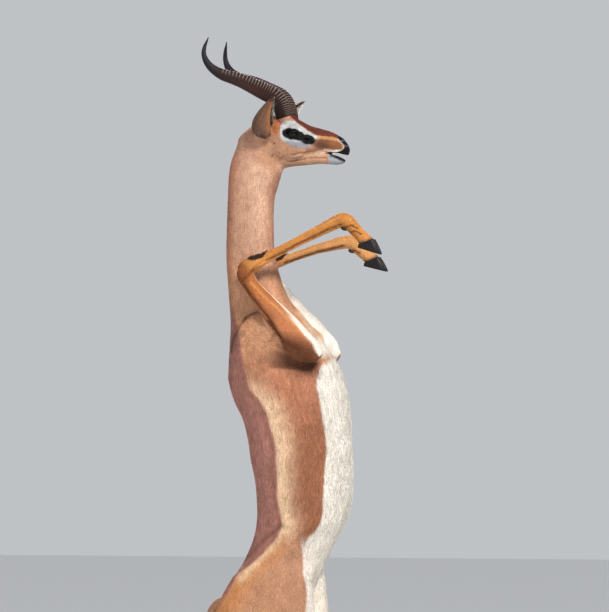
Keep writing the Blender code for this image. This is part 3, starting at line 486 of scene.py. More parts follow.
# Coat colours, linear.
TONES = {
    "neck": (0.44, 0.245, 0.165),
    "nape": (0.42, 0.185, 0.112),
    "neck middle": (0.60, 0.40, 0.29),
    # Painted shade along the throat, the front edge of the neck.
    "throat": (0.27, 0.135, 0.085),
    "shoulder": (0.52, 0.262, 0.148),
    "saddle": (0.385, 0.178, 0.142),
    "saddle rim": (0.22, 0.090, 0.070),
    "band": (0.66, 0.455, 0.30),
    "flank": (0.37, 0.155, 0.088),
    "flank edge": (0.33, 0.145, 0.085),
    "low flank": (0.235, 0.096, 0.050),
    "fold": (0.66, 0.46, 0.29),
    # Painted shade in the folds.
    "fold shade": (0.10, 0.035, 0.024),
    "belly": (0.62, 0.595, 0.545),
    "chest": (0.62, 0.42, 0.28),
    # Painted shadow in the arm pit, under the elbow.
    "arm pit": (0.070, 0.025, 0.015),
    "leg": (0.36, 0.118, 0.034),
    "thigh": (0.405, 0.208, 0.122),
    "thigh back": (0.50, 0.215, 0.085),
    "thigh middle": (0.31, 0.165, 0.11),
    "inner thigh": (0.74, 0.68, 0.60),
    "rump": (0.78, 0.75, 0.70),
    "rump rim": (0.33, 0.12, 0.06),
    "forearm": (0.40, 0.150, 0.065),
    "forearm white": (0.72, 0.68, 0.62),
    "cannon": (0.44, 0.180, 0.046),
    "inner cannon": (0.52, 0.27, 0.11),
    # Painted shade on the forearm's end by the elbow.
    "elbow": (0.095, 0.033, 0.017),
    # Painted shade in the leg grooves.
    "groove": (0.085, 0.026, 0.011),
    # Painted highlight on the leg ridges.
    "ridge": (0.58, 0.29, 0.11),
    "knee": (0.05, 0.028, 0.022),
    "knee side": (0.17, 0.050, 0.020),
    "tail": (0.36, 0.16, 0.08),
    "ink": (0.0045, 0.0042, 0.0055),
    "cheek": (0.37, 0.200, 0.125),
    "horn foot": (0.34, 0.125, 0.055),
    "under cheek": (0.44, 0.265, 0.175),
    "jaw": (0.40, 0.235, 0.145),
    "jaw edge": (0.26, 0.135, 0.085),
    "muzzle": (0.125, 0.052, 0.030),
    "nose side": (0.215, 0.088, 0.036),
    "muzzle side": (0.085, 0.040, 0.028),
    "lip side": (0.55, 0.38, 0.28),
    "face line": (0.16, 0.065, 0.036),
    "mouth corner": (0.40, 0.15, 0.055),
    "pale stripe": (0.38, 0.185, 0.075),
    "white": (0.40, 0.41, 0.43),
    # Painted shade on the lower part of the white ring.
    "ring shade": (0.215, 0.225, 0.265),
    "blaze": (0.10, 0.026, 0.018),
    "blaze front": (0.125, 0.032, 0.018),
    "crown": (0.30, 0.13, 0.08),
    "spot": (0.05, 0.022, 0.018),
    # The white chin in painted shade, grey-blue.
    "chin": (0.26, 0.275, 0.30),
    "white lip": (0.62, 0.58, 0.55),
    "nose rim": (0.55, 0.42, 0.34),
    # Painted sheen on the black nose round each nostril.
    "nostril": (0.085, 0.083, 0.105),
    "lower lip": (0.012, 0.013, 0.021),
    "mouth": (0.02, 0.010, 0.010),
    "ear back": (0.175, 0.092, 0.060),
    "ear foot": (0.115, 0.070, 0.055),
    "ear rim": (0.36, 0.14, 0.055),
    "ear tip": (0.035, 0.022, 0.018),
    "ear lining": (0.10, 0.065, 0.055),
    "ear hair": (0.70, 0.66, 0.60),
    "ear lining tip": (0.02, 0.016, 0.015),
}

# Folds and ridges: line on the chart, rise in metres, half width in steps, and the painted shade in a fold
# as its half width and strength.
FORMS = (
    (((257, 312.5), (248, 316), (240, 326), (233.5, 338), (231, 352)), -0.0026, 1.5, 1.5, 0.85),
    (((262, 318), (252, 321), (245, 331), (239, 343)), 0.0016, 4.0, 1, 0),
    (((281, 526), (272, 533), (262, 542), (252, 552), (242, 563)), -0.0045, 3.4, 2.8, 0.55),
    (((287, 524), (280, 538), (268, 550), (256, 561), (246, 571)), 0.0030, 4.0, 1, 0),
    (((276, 196), (270, 226), (270, 262), (274, 290)), -0.0018, 4.0, 1, 0),
    (((243, 200), (240, 240), (242, 280), (246, 306)), -0.0010, 5.0, 1, 0),
    (((283, 322), (276, 332), (270, 341)), -0.0026, 1.6, 1.6, 0.55),
    (((291, 327), (286, 340), (284, 350)), -0.0022, 1.8, 1.6, 0.50),
)
# The same for the raised legs, each on its own side: side, line, rise, half width.
# Along these lines the grooves of the legs get painted shade and the ridges painted highlights.
LEG_FORMS = (
    (-1, ((268, 260.4), (298, 244.4), (330, 229), (340, 225.6)), -0.0036, 1.5),
    (-1, ((262, 265.4), (296, 248.4), (332, 232.4)), 0.0016, 1.6),
    (-1, ((262, 253), (300, 234), (338, 218)), 0.0018, 2.2),
    (-1, ((244, 285), (253, 298), (268, 318), (280, 338)), -0.0034, 1.9),
    (-1, ((251, 283), (264, 297), (284, 315), (303, 335)), 0.0020, 2.0),
    (-1, ((268, 322), (276, 334), (284, 343), (298, 350)), -0.0026, 2.4),
    (-1, ((240, 283), (247, 277), (254, 270)), -0.0024, 1.6),
    (-1, ((242, 276), (250, 268), (258, 261)), 0.0016, 2.2),
    (-1, ((344, 229), (350, 226), (357, 229)), -0.0026, 1.1),
    (-1, ((348, 233.5), (354, 231.5), (361, 235)), -0.0022, 0.9),
    (-1, ((338, 228), (343, 231)), 0.0022, 2.0),
    (1, ((268, 260.8), (300, 250.3), (330, 244.4)), -0.0032, 1.5),
    (1, ((266, 258), (300, 247), (330, 241)), 0.0016, 2.0),
    (1, ((248, 290), (262, 305), (280, 325), (292, 340)), -0.0030, 2.0),
    (1, ((335, 250), (341, 249), (347, 252)), -0.0024, 1.2),
)
# The face's forms: ridge under the eye, hollow below it, mouth corner, cheek bone, jaw muscle, the vein
# along the jaw, and the grooves round the ear and the horn's foot.
FACE_FORMS = (
    (((302, 150), (312, 147), (322, 143.5), (332, 141.5)), 0.0014, 2.6),
    (((312, 143), (322, 147), (330, 149)), -0.0012, 2.4),
    (((331, 153), (327, 153.5), (322, 152.5)), -0.0012, 0.9),
    (((292, 155), (298, 153.2), (305, 152.6), (313, 151.3), (326, 149)), -0.0007, 1.4),
    (((288, 161.5), (298, 160.2), (307, 158.3), (316, 157.8), (326, 158)), -0.0012, 1.2),
    (((290, 158), (300, 156.5), (312, 154.8), (324, 153.5)), 0.0008, 1.6),
    (((270, 141), (272, 150), (278, 160), (284, 167)), -0.0009, 3.0),
    (((262, 136), (266, 141), (271, 142)), -0.0016, 2.0),
    (((276, 126), (277, 133), (280, 139)), 0.0010, 2.2),
)

# Coat sizes a part: length, width, thickness in metres, lift in degrees, tufts a square centimetre.
COAT_SIZES = {
    "trunk": (0.0125, 0.0014, 0.00034, 4.5, 14.0),
    "neck": (0.0085, 0.0011, 0.00030, 5.0, 24.0),
    "head": (0.0048, 0.0007, 0.00022, 6.0, 46.0),
    "muzzle": (0.0030, 0.0006, 0.0002, 8.0, 55.0),
    "ear": (0.0055, 0.0006, 0.00020, 7.0, 40.0),
    "shoulder": (0.0100, 0.0012, 0.00030, 4.5, 17.0),
    "arm": (0.0070, 0.0010, 0.00026, 5.0, 23.0),
    "cannon": (0.0058, 0.0009, 0.00024, 5.0, 28.0),
    "hind": (0.0095, 0.0012, 0.00030, 4.5, 17.0),
    "tail": (0.0120, 0.0014, 0.00036, 8.0, 26.0),
}
MOST_TRIANGLES = 190000

# The flat unwrap of the coat's roots: one strip a part.
STRIP_START, STRIP_STEP, STRIP_WIDTH = 0.02, 0.058, 0.050
STRIP_FOOT, STRIP_HEIGHT, LONGEST_PART = 0.03, 0.92, 1.6

# Claw of a hoof, toe to +X: x, middle from the midline, half width, height.
CLAW = (
    (-0.020, 0.0060, 0.0060, 0.020),
    (-0.016, 0.0085, 0.0078, 0.028),
    (-0.007, 0.0095, 0.0088, 0.034),
    (0.009, 0.0095, 0.0090, 0.034),
    (0.022, 0.0090, 0.0082, 0.024),
    (0.034, 0.0070, 0.0060, 0.012),
    (0.041, 0.0055, 0.0025, 0.004),
)
# Each foot's pair of dewclaws: middle, and how far the pair points down, in degrees.
DEWCLAWS = {
    "fore_right": ((0.1665, 0.083, 1.7655), 32),
    "fore_left": ((0.1445, 0.079, 1.7125), 34),
    "hind_right": ((-0.0440, 0.085, 0.1000), 70),
    "hind_left": ((-0.0440, 0.085, 0.1000), 70),
}
DEWCLAW_RADII = (0.0070, 0.0038, 0.0038)
DEWCLAW_ASIDE = 0.0090


def clean_ease(value):
    """A smooth rise from 0 to 1."""
    value = np.clip(value, 0.0, 1.0)
    return value * value * (3 - 2 * value)


def hump(value, width):
    """1 where the value is 0, less on both sides."""
    return np.exp(-((value / width) ** 2))


def word_of(side):
    return "left" if side > 0 else "right"


def chart(points):
    """Across and down on the chart of the animal's side, for either side."""
    x, y, z = points[:, 0], np.abs(points[:, 1]), points[:, 2]
    lift = 0.05 * y * clean_ease((z - 1.5) / 0.4)
    across = CHART_MIDDLE + (x * math.cos(CHART_TURN) - y * math.sin(CHART_TURN)) / CHART_STEP
    down = CHART_FLOOR - (z + lift - BASE_TOP) / CHART_STEP
    return across, down


# Shapes.


def spline(rows, count):
    """A Catmull-Rom curve through the rows, as count points evenly spread over the row numbers."""
    rows = np.asarray(rows, float)
    padded = np.vstack([2 * rows[0] - rows[1], rows, 2 * rows[-1] - rows[-2]])
    at = np.linspace(0, len(rows) - 1, count)
    first = np.minimum(at.astype(int), len(rows) - 2)
    t = (at - first)[:, None]
    a, b, c, d = (padded[first + shift] for shift in range(4))
    return b + 0.5 * t * (c - a + t * (2 * a - 5 * b + 4 * c - d + t * (3 * (b - c) + d - a)))


def linked(name, data):
    """A new object in the scene that holds this data."""
    made = bpy.data.objects.new(name, data)
    bpy.context.scene.collection.objects.link(made)
    return made


def from_bmesh(name, shape):
    """An object from a bmesh, which is freed."""
    mesh = bpy.data.meshes.new(name)
    shape.to_mesh(mesh)
    shape.free()
    return linked(name, mesh)


def mesh_object(name, points, faces):
    """An object from an array of points and a list or array of faces."""
    mesh = bpy.data.meshes.new(name)
    points = np.asarray(points, np.float32)
    if isinstance(faces, np.ndarray):
        sides = faces.shape[1]
        mesh.vertices.add(len(points))
        mesh.vertices.foreach_set("co", points.ravel())
        mesh.loops.add(faces.size)
        mesh.loops.foreach_set("vertex_index", faces.astype(np.int32).ravel())
        mesh.polygons.add(len(faces))
        mesh.polygons.foreach_set("loop_start", np.arange(len(faces), dtype=np.int32) * sides)
        mesh.update(calc_edges=True)
    else:
        mesh.from_pydata(points.tolist(), [], faces)
    return linked(name, mesh)


def facing_out(made):
    """The object with its faces turned outwards."""
    shape = bmesh.new()
    shape.from_mesh(made.data)
    bmesh.ops.recalc_face_normals(shape, faces=shape.faces)
    shape.to_mesh(made.data)
    shape.free()
    return made


def loft(name, rings):
    """A closed skin over rings of equal count, with a flat cap at each end."""
    rings = np.asarray(rings, float)
    count = rings.shape[1]
    faces = [tuple(range(count)), tuple(range((len(rings) - 1) * count, len(rings) * count))]
    for i in range(len(rings) - 1):
        for j in range(count):
            k = (j + 1) % count
            faces.append((i * count + j, i * count + k, (i + 1) * count + k, (i + 1) * count + j))
    return facing_out(mesh_object(name, rings.reshape(-1, 3), faces))


def round_section(sides, fullness=2.0):
    """Unit outline of a superellipse: 2 is an ellipse, and more is squarer."""
    turn = np.linspace(0, 2 * math.pi, sides, endpoint=False)
    power = 2.0 / fullness
    across = np.sign(np.cos(turn)) * np.abs(np.cos(turn)) ** power
    up = np.sign(np.sin(turn)) * np.abs(np.sin(turn)) ** power
    return across, up


def tube(name, stations, sides, steps):
    """A limb through stations of x, y, z, half depth and half width, its width along Y."""
    rows = spline(stations, steps)
    path = rows[:, :3]
    along = np.gradient(path, axis=0)
    along /= np.linalg.norm(along, axis=1)[:, None]
    side = np.array([0.0, 1.0, 0.0]) - along * along[:, 1:2]
    side /= np.linalg.norm(side, axis=1)[:, None]
    depth = np.cross(along, side)
    across, up = round_section(sides)
    rings = (
        path[:, None]
        + across[None, :, None] * side[:, None] * rows[:, 4][:, None, None]
        + up[None, :, None] * depth[:, None] * rows[:, 3][:, None, None]
    )
    return loft(name, rings)


def on_side(stations, side):
    rows = np.array(stations, float)
    rows[:, 1] *= side
    return rows


def mirrored(point, side):
    return (point[0], point[1] * side, point[2])


def level_loft(name, rows, middle_y, across, up, narrow=1.0):
    """Level sections from rows of height, back edge, front edge and half width."""
    middle = (rows[:, 1] + rows[:, 2]) / 2
    depth = (rows[:, 2] - rows[:, 1]) / 2
    rings = np.stack(
        [
            middle[:, None] + depth[:, None] * up[None, :],
            middle_y[:, None] + rows[:, 3][:, None] * across[None, :] * narrow,
            np.repeat(rows[:, :1], len(across), axis=1),
        ],
        axis=-1,
    )
    return loft(name, rings)


def trunk(low, high):
    """Neck, chest, belly and hips between two heights: the chest narrows towards the breastbone."""
    rows = spline(TRUNK, 420)
    rows = rows[(rows[:, 0] >= low) & (rows[:, 0] <= high)]
    across, up = round_section(72, 2.15)
    chest = np.clip(1 - np.abs(rows[:, 0] - 1.46) / 0.16, 0, 1) * 0.22
    narrow = 1 - chest[:, None] * np.clip(up, 0, 1)[None, :]
    return level_loft("trunk", rows, np.zeros(len(rows)), across, up, narrow)


def hind_leg(side):
    """A hind leg from the flank to the hoof."""
    rows = spline(HIND_LEG, 260)
    across, up = round_section(44, 2.1)
    return level_loft("hind_leg", rows[:, [0, 1, 2, 4]], side * rows[:, 3], across, up)


def head_loft(name, stations, steps, sides, fullness):
    """Upright sections from rows of x, top, bottom and half width."""
    rows = spline(stations, steps)
    across, up = round_section(sides, fullness)
    middle = (rows[:, 1] + rows[:, 2]) / 2
    height = (rows[:, 1] - rows[:, 2]) / 2
    rings = np.stack(
        [
            np.repeat(rows[:, :1], sides, axis=1),
            rows[:, 3][:, None] * across[None, :],
            middle[:, None] + height[:, None] * up[None, :],
        ],
        axis=-1,
    )
    return loft(name, rings)


def ball(name, centre, radii, turn=0.0, segments=32):
    """An ellipsoid: turn tips its long axis up round Y, in degrees."""
    shape = bmesh.new()
    tip = Matrix.Rotation(math.radians(-turn), 4, "Y")
    place = Matrix.Translation(centre) @ tip @ Matrix.Diagonal((*radii, 1))
    bmesh.ops.create_uvsphere(shape, u_segments=segments, v_segments=segments // 2, radius=1, matrix=place)
    return from_bmesh(name, shape)


def joined(name, pieces):
    """One mesh object that holds all the pieces, still overlapping."""
    whole = bmesh.new()
    for piece in pieces:
        whole.from_mesh(piece.data)
        bpy.data.objects.remove(piece, do_unlink=True)
    return from_bmesh(name, whole)


def apply_modifiers(made):
    bpy.context.view_layer.update()
    graph = bpy.context.evaluated_depsgraph_get()
    mesh = bpy.data.meshes.new_from_object(made.evaluated_get(graph))
    made.modifiers.clear()
    made.data = mesh
    return made


def melted(made, voxel, smoothing, share):
    """Overlapping pieces fused into one smooth skin, keeping this share of the faces."""
    remesh = made.modifiers.new("fuse", "REMESH")
    remesh.mode = "VOXEL"
    remesh.voxel_size = voxel
    relax = made.modifiers.new("relax", "SMOOTH")
    relax.factor = 0.5
    relax.iterations = smoothing
    apply_modifiers(made)
    if share < 1:
        thin = made.modifiers.new("thin", "DECIMATE")
        thin.ratio = share
        apply_modifiers(made)
    return made


def boolean(made, others, operation):
    """Joins the others to the object or cuts them from it, and removes them."""
    for other in others:
        tool = made.modifiers.new(operation.lower(), "BOOLEAN")
        tool.operation = operation
        tool.solver = "MANIFOLD"
        tool.object = other
    apply_modifiers(made)
    for other in others:
        bpy.data.objects.remove(other, do_unlink=True)
    return made


def points_of(mesh):
    points = np.empty(len(mesh.vertices) * 3, np.float32)
    mesh.vertices.foreach_get("co", points)
    return points.reshape(-1, 3).astype(float)


def normals_of(mesh):
    normals = np.empty(len(mesh.vertices) * 3, np.float32)
    mesh.vertex_normals.foreach_get("vector", normals)
    return normals.reshape(-1, 3).astype(float)


def set_points(mesh, points):
    mesh.vertices.foreach_set("co", np.asarray(points, np.float32).ravel())
    mesh.update()


def smooth_shaded(made):
    made.data.polygons.foreach_set("use_smooth", np.ones(len(made.data.polygons), bool))
    return made


# Ears.


def ear_frame(side):
    base, tip = Vector(mirrored(EAR_BASE, side)), Vector(mirrored(EAR_TIP, side))
    along = (tip - base).normalized()
    opening = Vector(mirrored(EAR_OPENING, side))
    opening = (opening - along * opening.dot(along)).normalized()
    return base, along, opening, along.cross(opening), (tip - base).length


def ear_cup(side):
    """A thin cup with an open front and a rolled edge."""
    base, along, opening, across, length = ear_frame(side)
    rings = []
    for share, radius, half_angle in spline(EAR, 40):
        middle = base + along * (length * 1.025 * min(share, 1.0) - 0.002)
        middle -= opening * (0.004 * math.sin(math.pi * share))
        angles = np.radians(np.linspace(-half_angle, half_angle, 25))
        wall = min(EAR_WALL + 0.0008, radius * 0.6)
        inner = radius - wall
        outer_arc = [middle - opening * (radius * EAR_DEPTH * math.cos(a)) + across * (radius * math.sin(a))
                     for a in angles]
        inner_arc = [middle - opening * (inner * EAR_DEPTH * math.cos(a)) + across * (inner * math.sin(a))
                     for a in angles[::-1]]
        rings.append([tuple(p) for p in outer_arc + inner_arc])
    return loft("cup", rings)


# The skin.


def lid_turned(across, rise):
    """A place between the lids, turned to the slope of the eye's opening."""
    return (across * math.cos(LID_TURN) - rise * math.sin(LID_TURN),
            across * math.sin(LID_TURN) + rise * math.cos(LID_TURN))


def almond(centre, side):
    """The opening between the lids, as a prism across the head."""
    half_length, above, below = 0.0148, 0.0092, 0.0074
    outline = []
    for t in np.linspace(0, 2 * math.pi, 48, endpoint=False):
        rise = abs(math.sin(t)) ** 0.85
        x, z = lid_turned(half_length * math.cos(t), above * rise if math.sin(t) > 0 else -below * rise)
        outline.append((centre[0] + x, centre[2] + z))
    rings = [[(x, side * y, z) for x, z in outline] for y in (abs(centre[1]) + 0.004, abs(centre[1]) + 0.03)]
    return loft("almond", rings)


def head_skin():
    """Skull, jaws, lips, lids, ears and the top of the neck as one mesh."""
    pieces = [
        head_loft("skull", SKULL, 200, 64, 2.25),
        head_loft("jaw", JAW, 140, 44, 2.3),
        head_loft("mouth_join", MOUTH_JOIN, 60, 36, 2.3),
        tube("nape", [(-0.116, 0, 1.945, 0.036, 0.040), (-0.10, 0, 1.965, 0.042, 0.042),
                      (-0.08, 0, 1.99, 0.042, 0.040)], 48, 30),
        trunk(1.835, 2.04),
    ]
    for side in (-1, 1):
        x, y, z = mirrored(EYE_CENTRE, side)
        pieces.append(ball("brow", (x - 0.002, y - side * 0.003, z + 0.003), (0.026, 0.0185, 0.0215), -14))
        pieces.append(ball("lids", (x, y, z), (EYE_RADIUS + 0.0019,) * 3))
        pieces.append(ball("cheek", (0.000, side * 0.030, 1.975), (0.050, 0.0155, 0.024), -8))
        pieces.append(tube("upper_lip", on_side(UPPER_LIP, side), 16, 40))
        pieces.append(tube("lower_lip", on_side(LOWER_LIP, side), 16, 40))
        pieces.append(ball("nostril_wing", (0.146, side * 0.0145, 1.9885), (0.0085, 0.0048, 0.0055), -40))
        foot, axis = Vector(mirrored(HORN_FOOT, side)), Vector(mirrored(HORN_AXIS, side))
        low, high = foot - axis * 0.03, foot + axis * 0.001
        pieces.append(tube("pedicle", [(*low, 0.0245, 0.0205), (*foot, 0.0228, 0.0192),
                                       (*high, 0.0222, 0.0186)], 36, 16))
        base, along = Vector(mirrored(EAR_BASE, side)), ear_frame(side)[1]
        low, high = base - along * 0.035, base + along * 0.012
        pieces.append(tube("ear_foot", [(*low, 0.024, 0.024), (*base, 0.0195, 0.0185),
                                        (*high, 0.0140, 0.0130)], 32, 16))
        pieces.append(ear_cup(side))
        heel = base - ear_frame(side)[2] * 0.0025 + along * 0.002
        pieces.append(ball("ear_heel", tuple(heel), (0.0215, 0.0200, 0.0200), 40))
    return melted(joined("head_skin", pieces), HEAD_VOXEL, 3, 0.55)


def body_skin():
    """Neck, trunk, legs and tail as one mesh."""
    pieces = [trunk(0.6, 1.905)]
    for side in (-1, 1):
        pieces.append(tube("scapula", on_side(SCAPULA, side), 40, 90))
        pieces.append(tube("upper_arm", on_side(UPPER_ARM, side), 40, 70))
        pieces.append(tube("triceps", on_side(TRICEPS, side), 40, 50))
        pieces.append(hind_leg(side))
        forearm, cannon = (FOREARM_LEFT, CANNON_LEFT) if side > 0 else (FOREARM_RIGHT, CANNON_RIGHT)
        pieces.append(tube("forearm", on_side(forearm, side), 36, 110))
        pieces.append(tube("cannon", on_side(cannon, side), 36, 140))
    pieces.append(ball("groin", (0.030, 0, 0.790), (0.026, 0.022, 0.036), 10))
    pieces.append(tube("tail", [(x, 0, z, depth, width) for x, z, depth, width in TAIL], 24, 60))
    return melted(joined("body_skin", pieces), BODY_VOXEL, 5, 0.6)


def whole_skin():
    """Head and body as one closed skin, cut for the eyes, the gland pits and the nostrils."""
    head, body = head_skin(), body_skin()
    for part, way in ((head, 1), (body, -1)):
        points, normals = points_of(part.data), normals_of(part.data)
        past = clean_ease(((NECK_JOIN - points[:, 2]) * way + 0.006) / 0.02)
        trunk_only = np.abs(points[:, 1]) < 0.07
        set_points(part.data, points - normals * (0.0011 * past * trunk_only)[:, None])
    skin = boolean(head, [body], "UNION")
    relax_band(skin.data, neck_join, 14)
    relax_band(skin.data, throat_join, 70)
    relax_band(skin.data, withers, 110)
    relax_band(skin.data, behind_arm, 130)
    relax_band(skin.data, hip, 120)
    relax_band(skin.data, ear_heel, 60)
    sculpt(skin.data)
    cuts = []
    for side in (-1, 1):
        centre = mirrored(EYE_CENTRE, side)
        cuts.append(ball("socket", centre, (EYE_RADIUS + 0.0002,) * 3, 0, 48))
        cuts.append(almond(centre, side))
        cuts.append(ball("gland", mirrored(GLAND_CENTRE, side), (0.0085, 0.0048, 0.0026), -20, 24))
        cuts.append(ball("nostril", mirrored(NOSTRIL_CENTRE, side), (0.0070, 0.0042, 0.0026), -38, 24))
    boolean(skin, cuts + foot_cutters(), "DIFFERENCE")
    skin.name = "skin"
    return smooth_shaded(skin)


def neck_join(points):
    """Where the head's mesh meets the body's."""
    return (np.abs(points[:, 2] - NECK_JOIN) < 0.022) & (np.abs(points[:, 1]) < 0.07) & (points[:, 0] < 0.02)


def throat_join(points):
    """Where the cheeks and the back of the skull run into the neck."""
    reach = distance_to(((-0.160, 1.985), (-0.125, 1.972), (-0.080, 1.950), (-0.030, 1.932)), points[:, 0],
                        points[:, 2])
    ear = np.linalg.norm(one_sided(points) - np.array(EAR_BASE), axis=1)
    return (reach < 0.026) & (ear > 0.034)


def withers(points):
    """Where the neck's back meets the shoulders."""
    return (np.abs(points[:, 2] - 1.465) < 0.075) & (points[:, 0] < -0.125)


def behind_arm(points):
    """The shoulder's side behind the forearm, where the upper arm sinks into the chest."""
    reach = distance_to(((-0.140, 1.450), (-0.055, 1.450)), points[:, 0], points[:, 2])
    return (reach < 0.052) & (points[:, 0] < -0.010) & (points[:, 2] < 1.507) & (np.abs(points[:, 1]) > 0.03)


def one_sided(points):
    """The points with the left side's laid over the right's."""
    return np.stack([points[:, 0], np.abs(points[:, 1]), points[:, 2]], axis=1)


def ear_heel(points):
    """Under the outer side of each ear."""
    return np.linalg.norm(one_sided(points) - (-0.0545, 0.0745, 2.008), axis=1) < 0.012


def hip(points):
    """Where the thigh grows out of the flank."""
    return (np.abs(points[:, 2] - 0.925) < 0.060) & (np.abs(points[:, 1]) > 0.035) & (points[:, 0] > -0.13)


def relax_band(mesh, region, rounds):
    """Smooths one region of the skin."""
    points = points_of(mesh)
    edges = np.empty(len(mesh.edges) * 2, np.int32)
    mesh.edges.foreach_get("vertices", edges)
    edges = edges.reshape(-1, 2)
    near = region(points)
    edges = edges[near[edges[:, 0]] | near[edges[:, 1]]]
    used, index = np.unique(edges, return_inverse=True)
    edges = index.reshape(-1, 2)
    some, near = points[used], near[used][:, None]
    count = np.bincount(edges.ravel(), minlength=len(used))[:, None]
    for _ in range(rounds):
        total = np.stack([np.bincount(edges[:, 0], some[edges[:, 1], c], len(used))
                          + np.bincount(edges[:, 1], some[edges[:, 0], c], len(used))
                          for c in range(3)], axis=1)
        some = np.where(near, 0.4 * some + 0.6 * total / count, some)
    points[used] = some
    set_points(mesh, points)


def distance_to(line, across, down):
    """Distance on the chart from each point to a broken line."""
    best = np.full(len(across), 1e9)
    for (ax, ay), (bx, by) in zip(line[:-1], line[1:]):
        dx, dy = bx - ax, by - ay
        t = np.clip(((across - ax) * dx + (down - ay) * dy) / (dx * dx + dy * dy), 0, 1)
        best = np.minimum(best, np.hypot(across - ax - t * dx, down - ay - t * dy))
    return best


def sculpt(mesh):
    """Moves the skin in or out along its normals for folds, muscles, tendons and the face's forms."""
    points, normals = points_of(mesh), normals_of(mesh)
    across, down = chart(points)
    sideways = clean_ease(np.abs(normals[:, 1]) * 2.2)
    leg = (points[:, 2] > 1.42) & (points[:, 2] < 1.85)
    leg &= (np.abs(points[:, 1]) > 0.072) & (points[:, 0] > -0.13)
    torso = ~leg | (points[:, 0] < -0.09)
    rise = np.full(len(points), -0.0010)
    for side, line, height, width in LEG_FORMS:
        here = leg & (np.sign(points[:, 1]) == side) & (np.sign(normals[:, 1]) == side)
        rise += height * hump(distance_to(line, across, down), width) * sideways * here
    for line, height, width, _, _ in FORMS:
        rise += height * hump(distance_to(line, across, down), width) * sideways * torso
    x, z = points[:, 0] - EYE_CENTRE[0], points[:, 2] - EYE_CENTRE[2]
    along = x * math.cos(LID_TURN) + z * math.sin(LID_TURN)
    up = -x * math.sin(LID_TURN) + z * math.cos(LID_TURN)
    reach = np.hypot(along / 0.0185, up / 0.0120)
    face = sideways * (points[:, 2] > 1.93) * (np.abs(points[:, 1]) > 0.02)
    crease_above = -0.0016 * hump(reach - 1.42, 0.13) * (up > -0.002)
    lid_rim = 0.0010 * hump(reach - 1.0, 0.16)
    crease_below = -0.0012 * hump(reach - 1.45, 0.16) * (up < -0.002)
    for form in (crease_above, lid_rim, crease_below):
        rise += form * face
    for line, height, width in FACE_FORMS:
        rise += height * hump(distance_to(line, across, down), width) * face
    set_points(mesh, points + normals * rise[:, None])


# Middle lines, which give the coat its lie and its unwrap.


def middle_lines():
    """Every part's middle line as (name, points, radius): it runs the way the hair lies."""
    rows = spline(TRUNK, 90)
    middle = (rows[:, 1] + rows[:, 2]) / 2
    depth = (rows[:, 2] - rows[:, 1]) / 2
    found = [("trunk", np.stack([middle, 0 * middle, rows[:, 0]], axis=1), (depth + rows[:, 3]) / 2)]
    rows = spline(SKULL, 40)[::-1]
    found.append(("head", np.stack([rows[:, 0], 0 * rows[:, 0], (rows[:, 1] + rows[:, 2]) / 2], axis=1),
                  (rows[:, 3] + (rows[:, 1] - rows[:, 2]) / 2) / 2))
    for side in (-1, 1):
        word = word_of(side)
        rows = spline(HIND_LEG, 60)
        found.append((f"hind_{word}", np.stack([(rows[:, 1] + rows[:, 2]) / 2, side * rows[:, 3], rows[:, 0]],
                                               axis=1), (rows[:, 4] + (rows[:, 2] - rows[:, 1]) / 2) / 2))
        forearm, cannon = (FOREARM_LEFT, CANNON_LEFT) if side > 0 else (FOREARM_RIGHT, CANNON_RIGHT)
        for part, table in (("arm", forearm), ("cannon", cannon), ("shoulder", SCAPULA)):
            rows = spline(on_side(table, side), 40)
            found.append((f"{part}_{word}", rows[:, :3], (rows[:, 3] + rows[:, 4]) / 2))
        base, along, opening, _, length = ear_frame(side)
        shares = np.linspace(0, 1, 24)
        middle = np.array([tuple(base + along * (length * s) - opening * 0.008) for s in shares])
        radius = 0.7 * np.interp(shares, column(EAR, 0), column(EAR, 1))
        found.append((f"ear_{word}", middle, radius))
    rows = spline([(x, 0, z, (a + b) / 2) for x, z, a, b in TAIL], 24)
    found.append(("tail", rows[:, :3], rows[:, 3]))
    return found


def column(rows, number):
    return [row[number] for row in rows]


LINES = middle_lines()
LINE_NAMES = [name for name, _, _ in LINES]


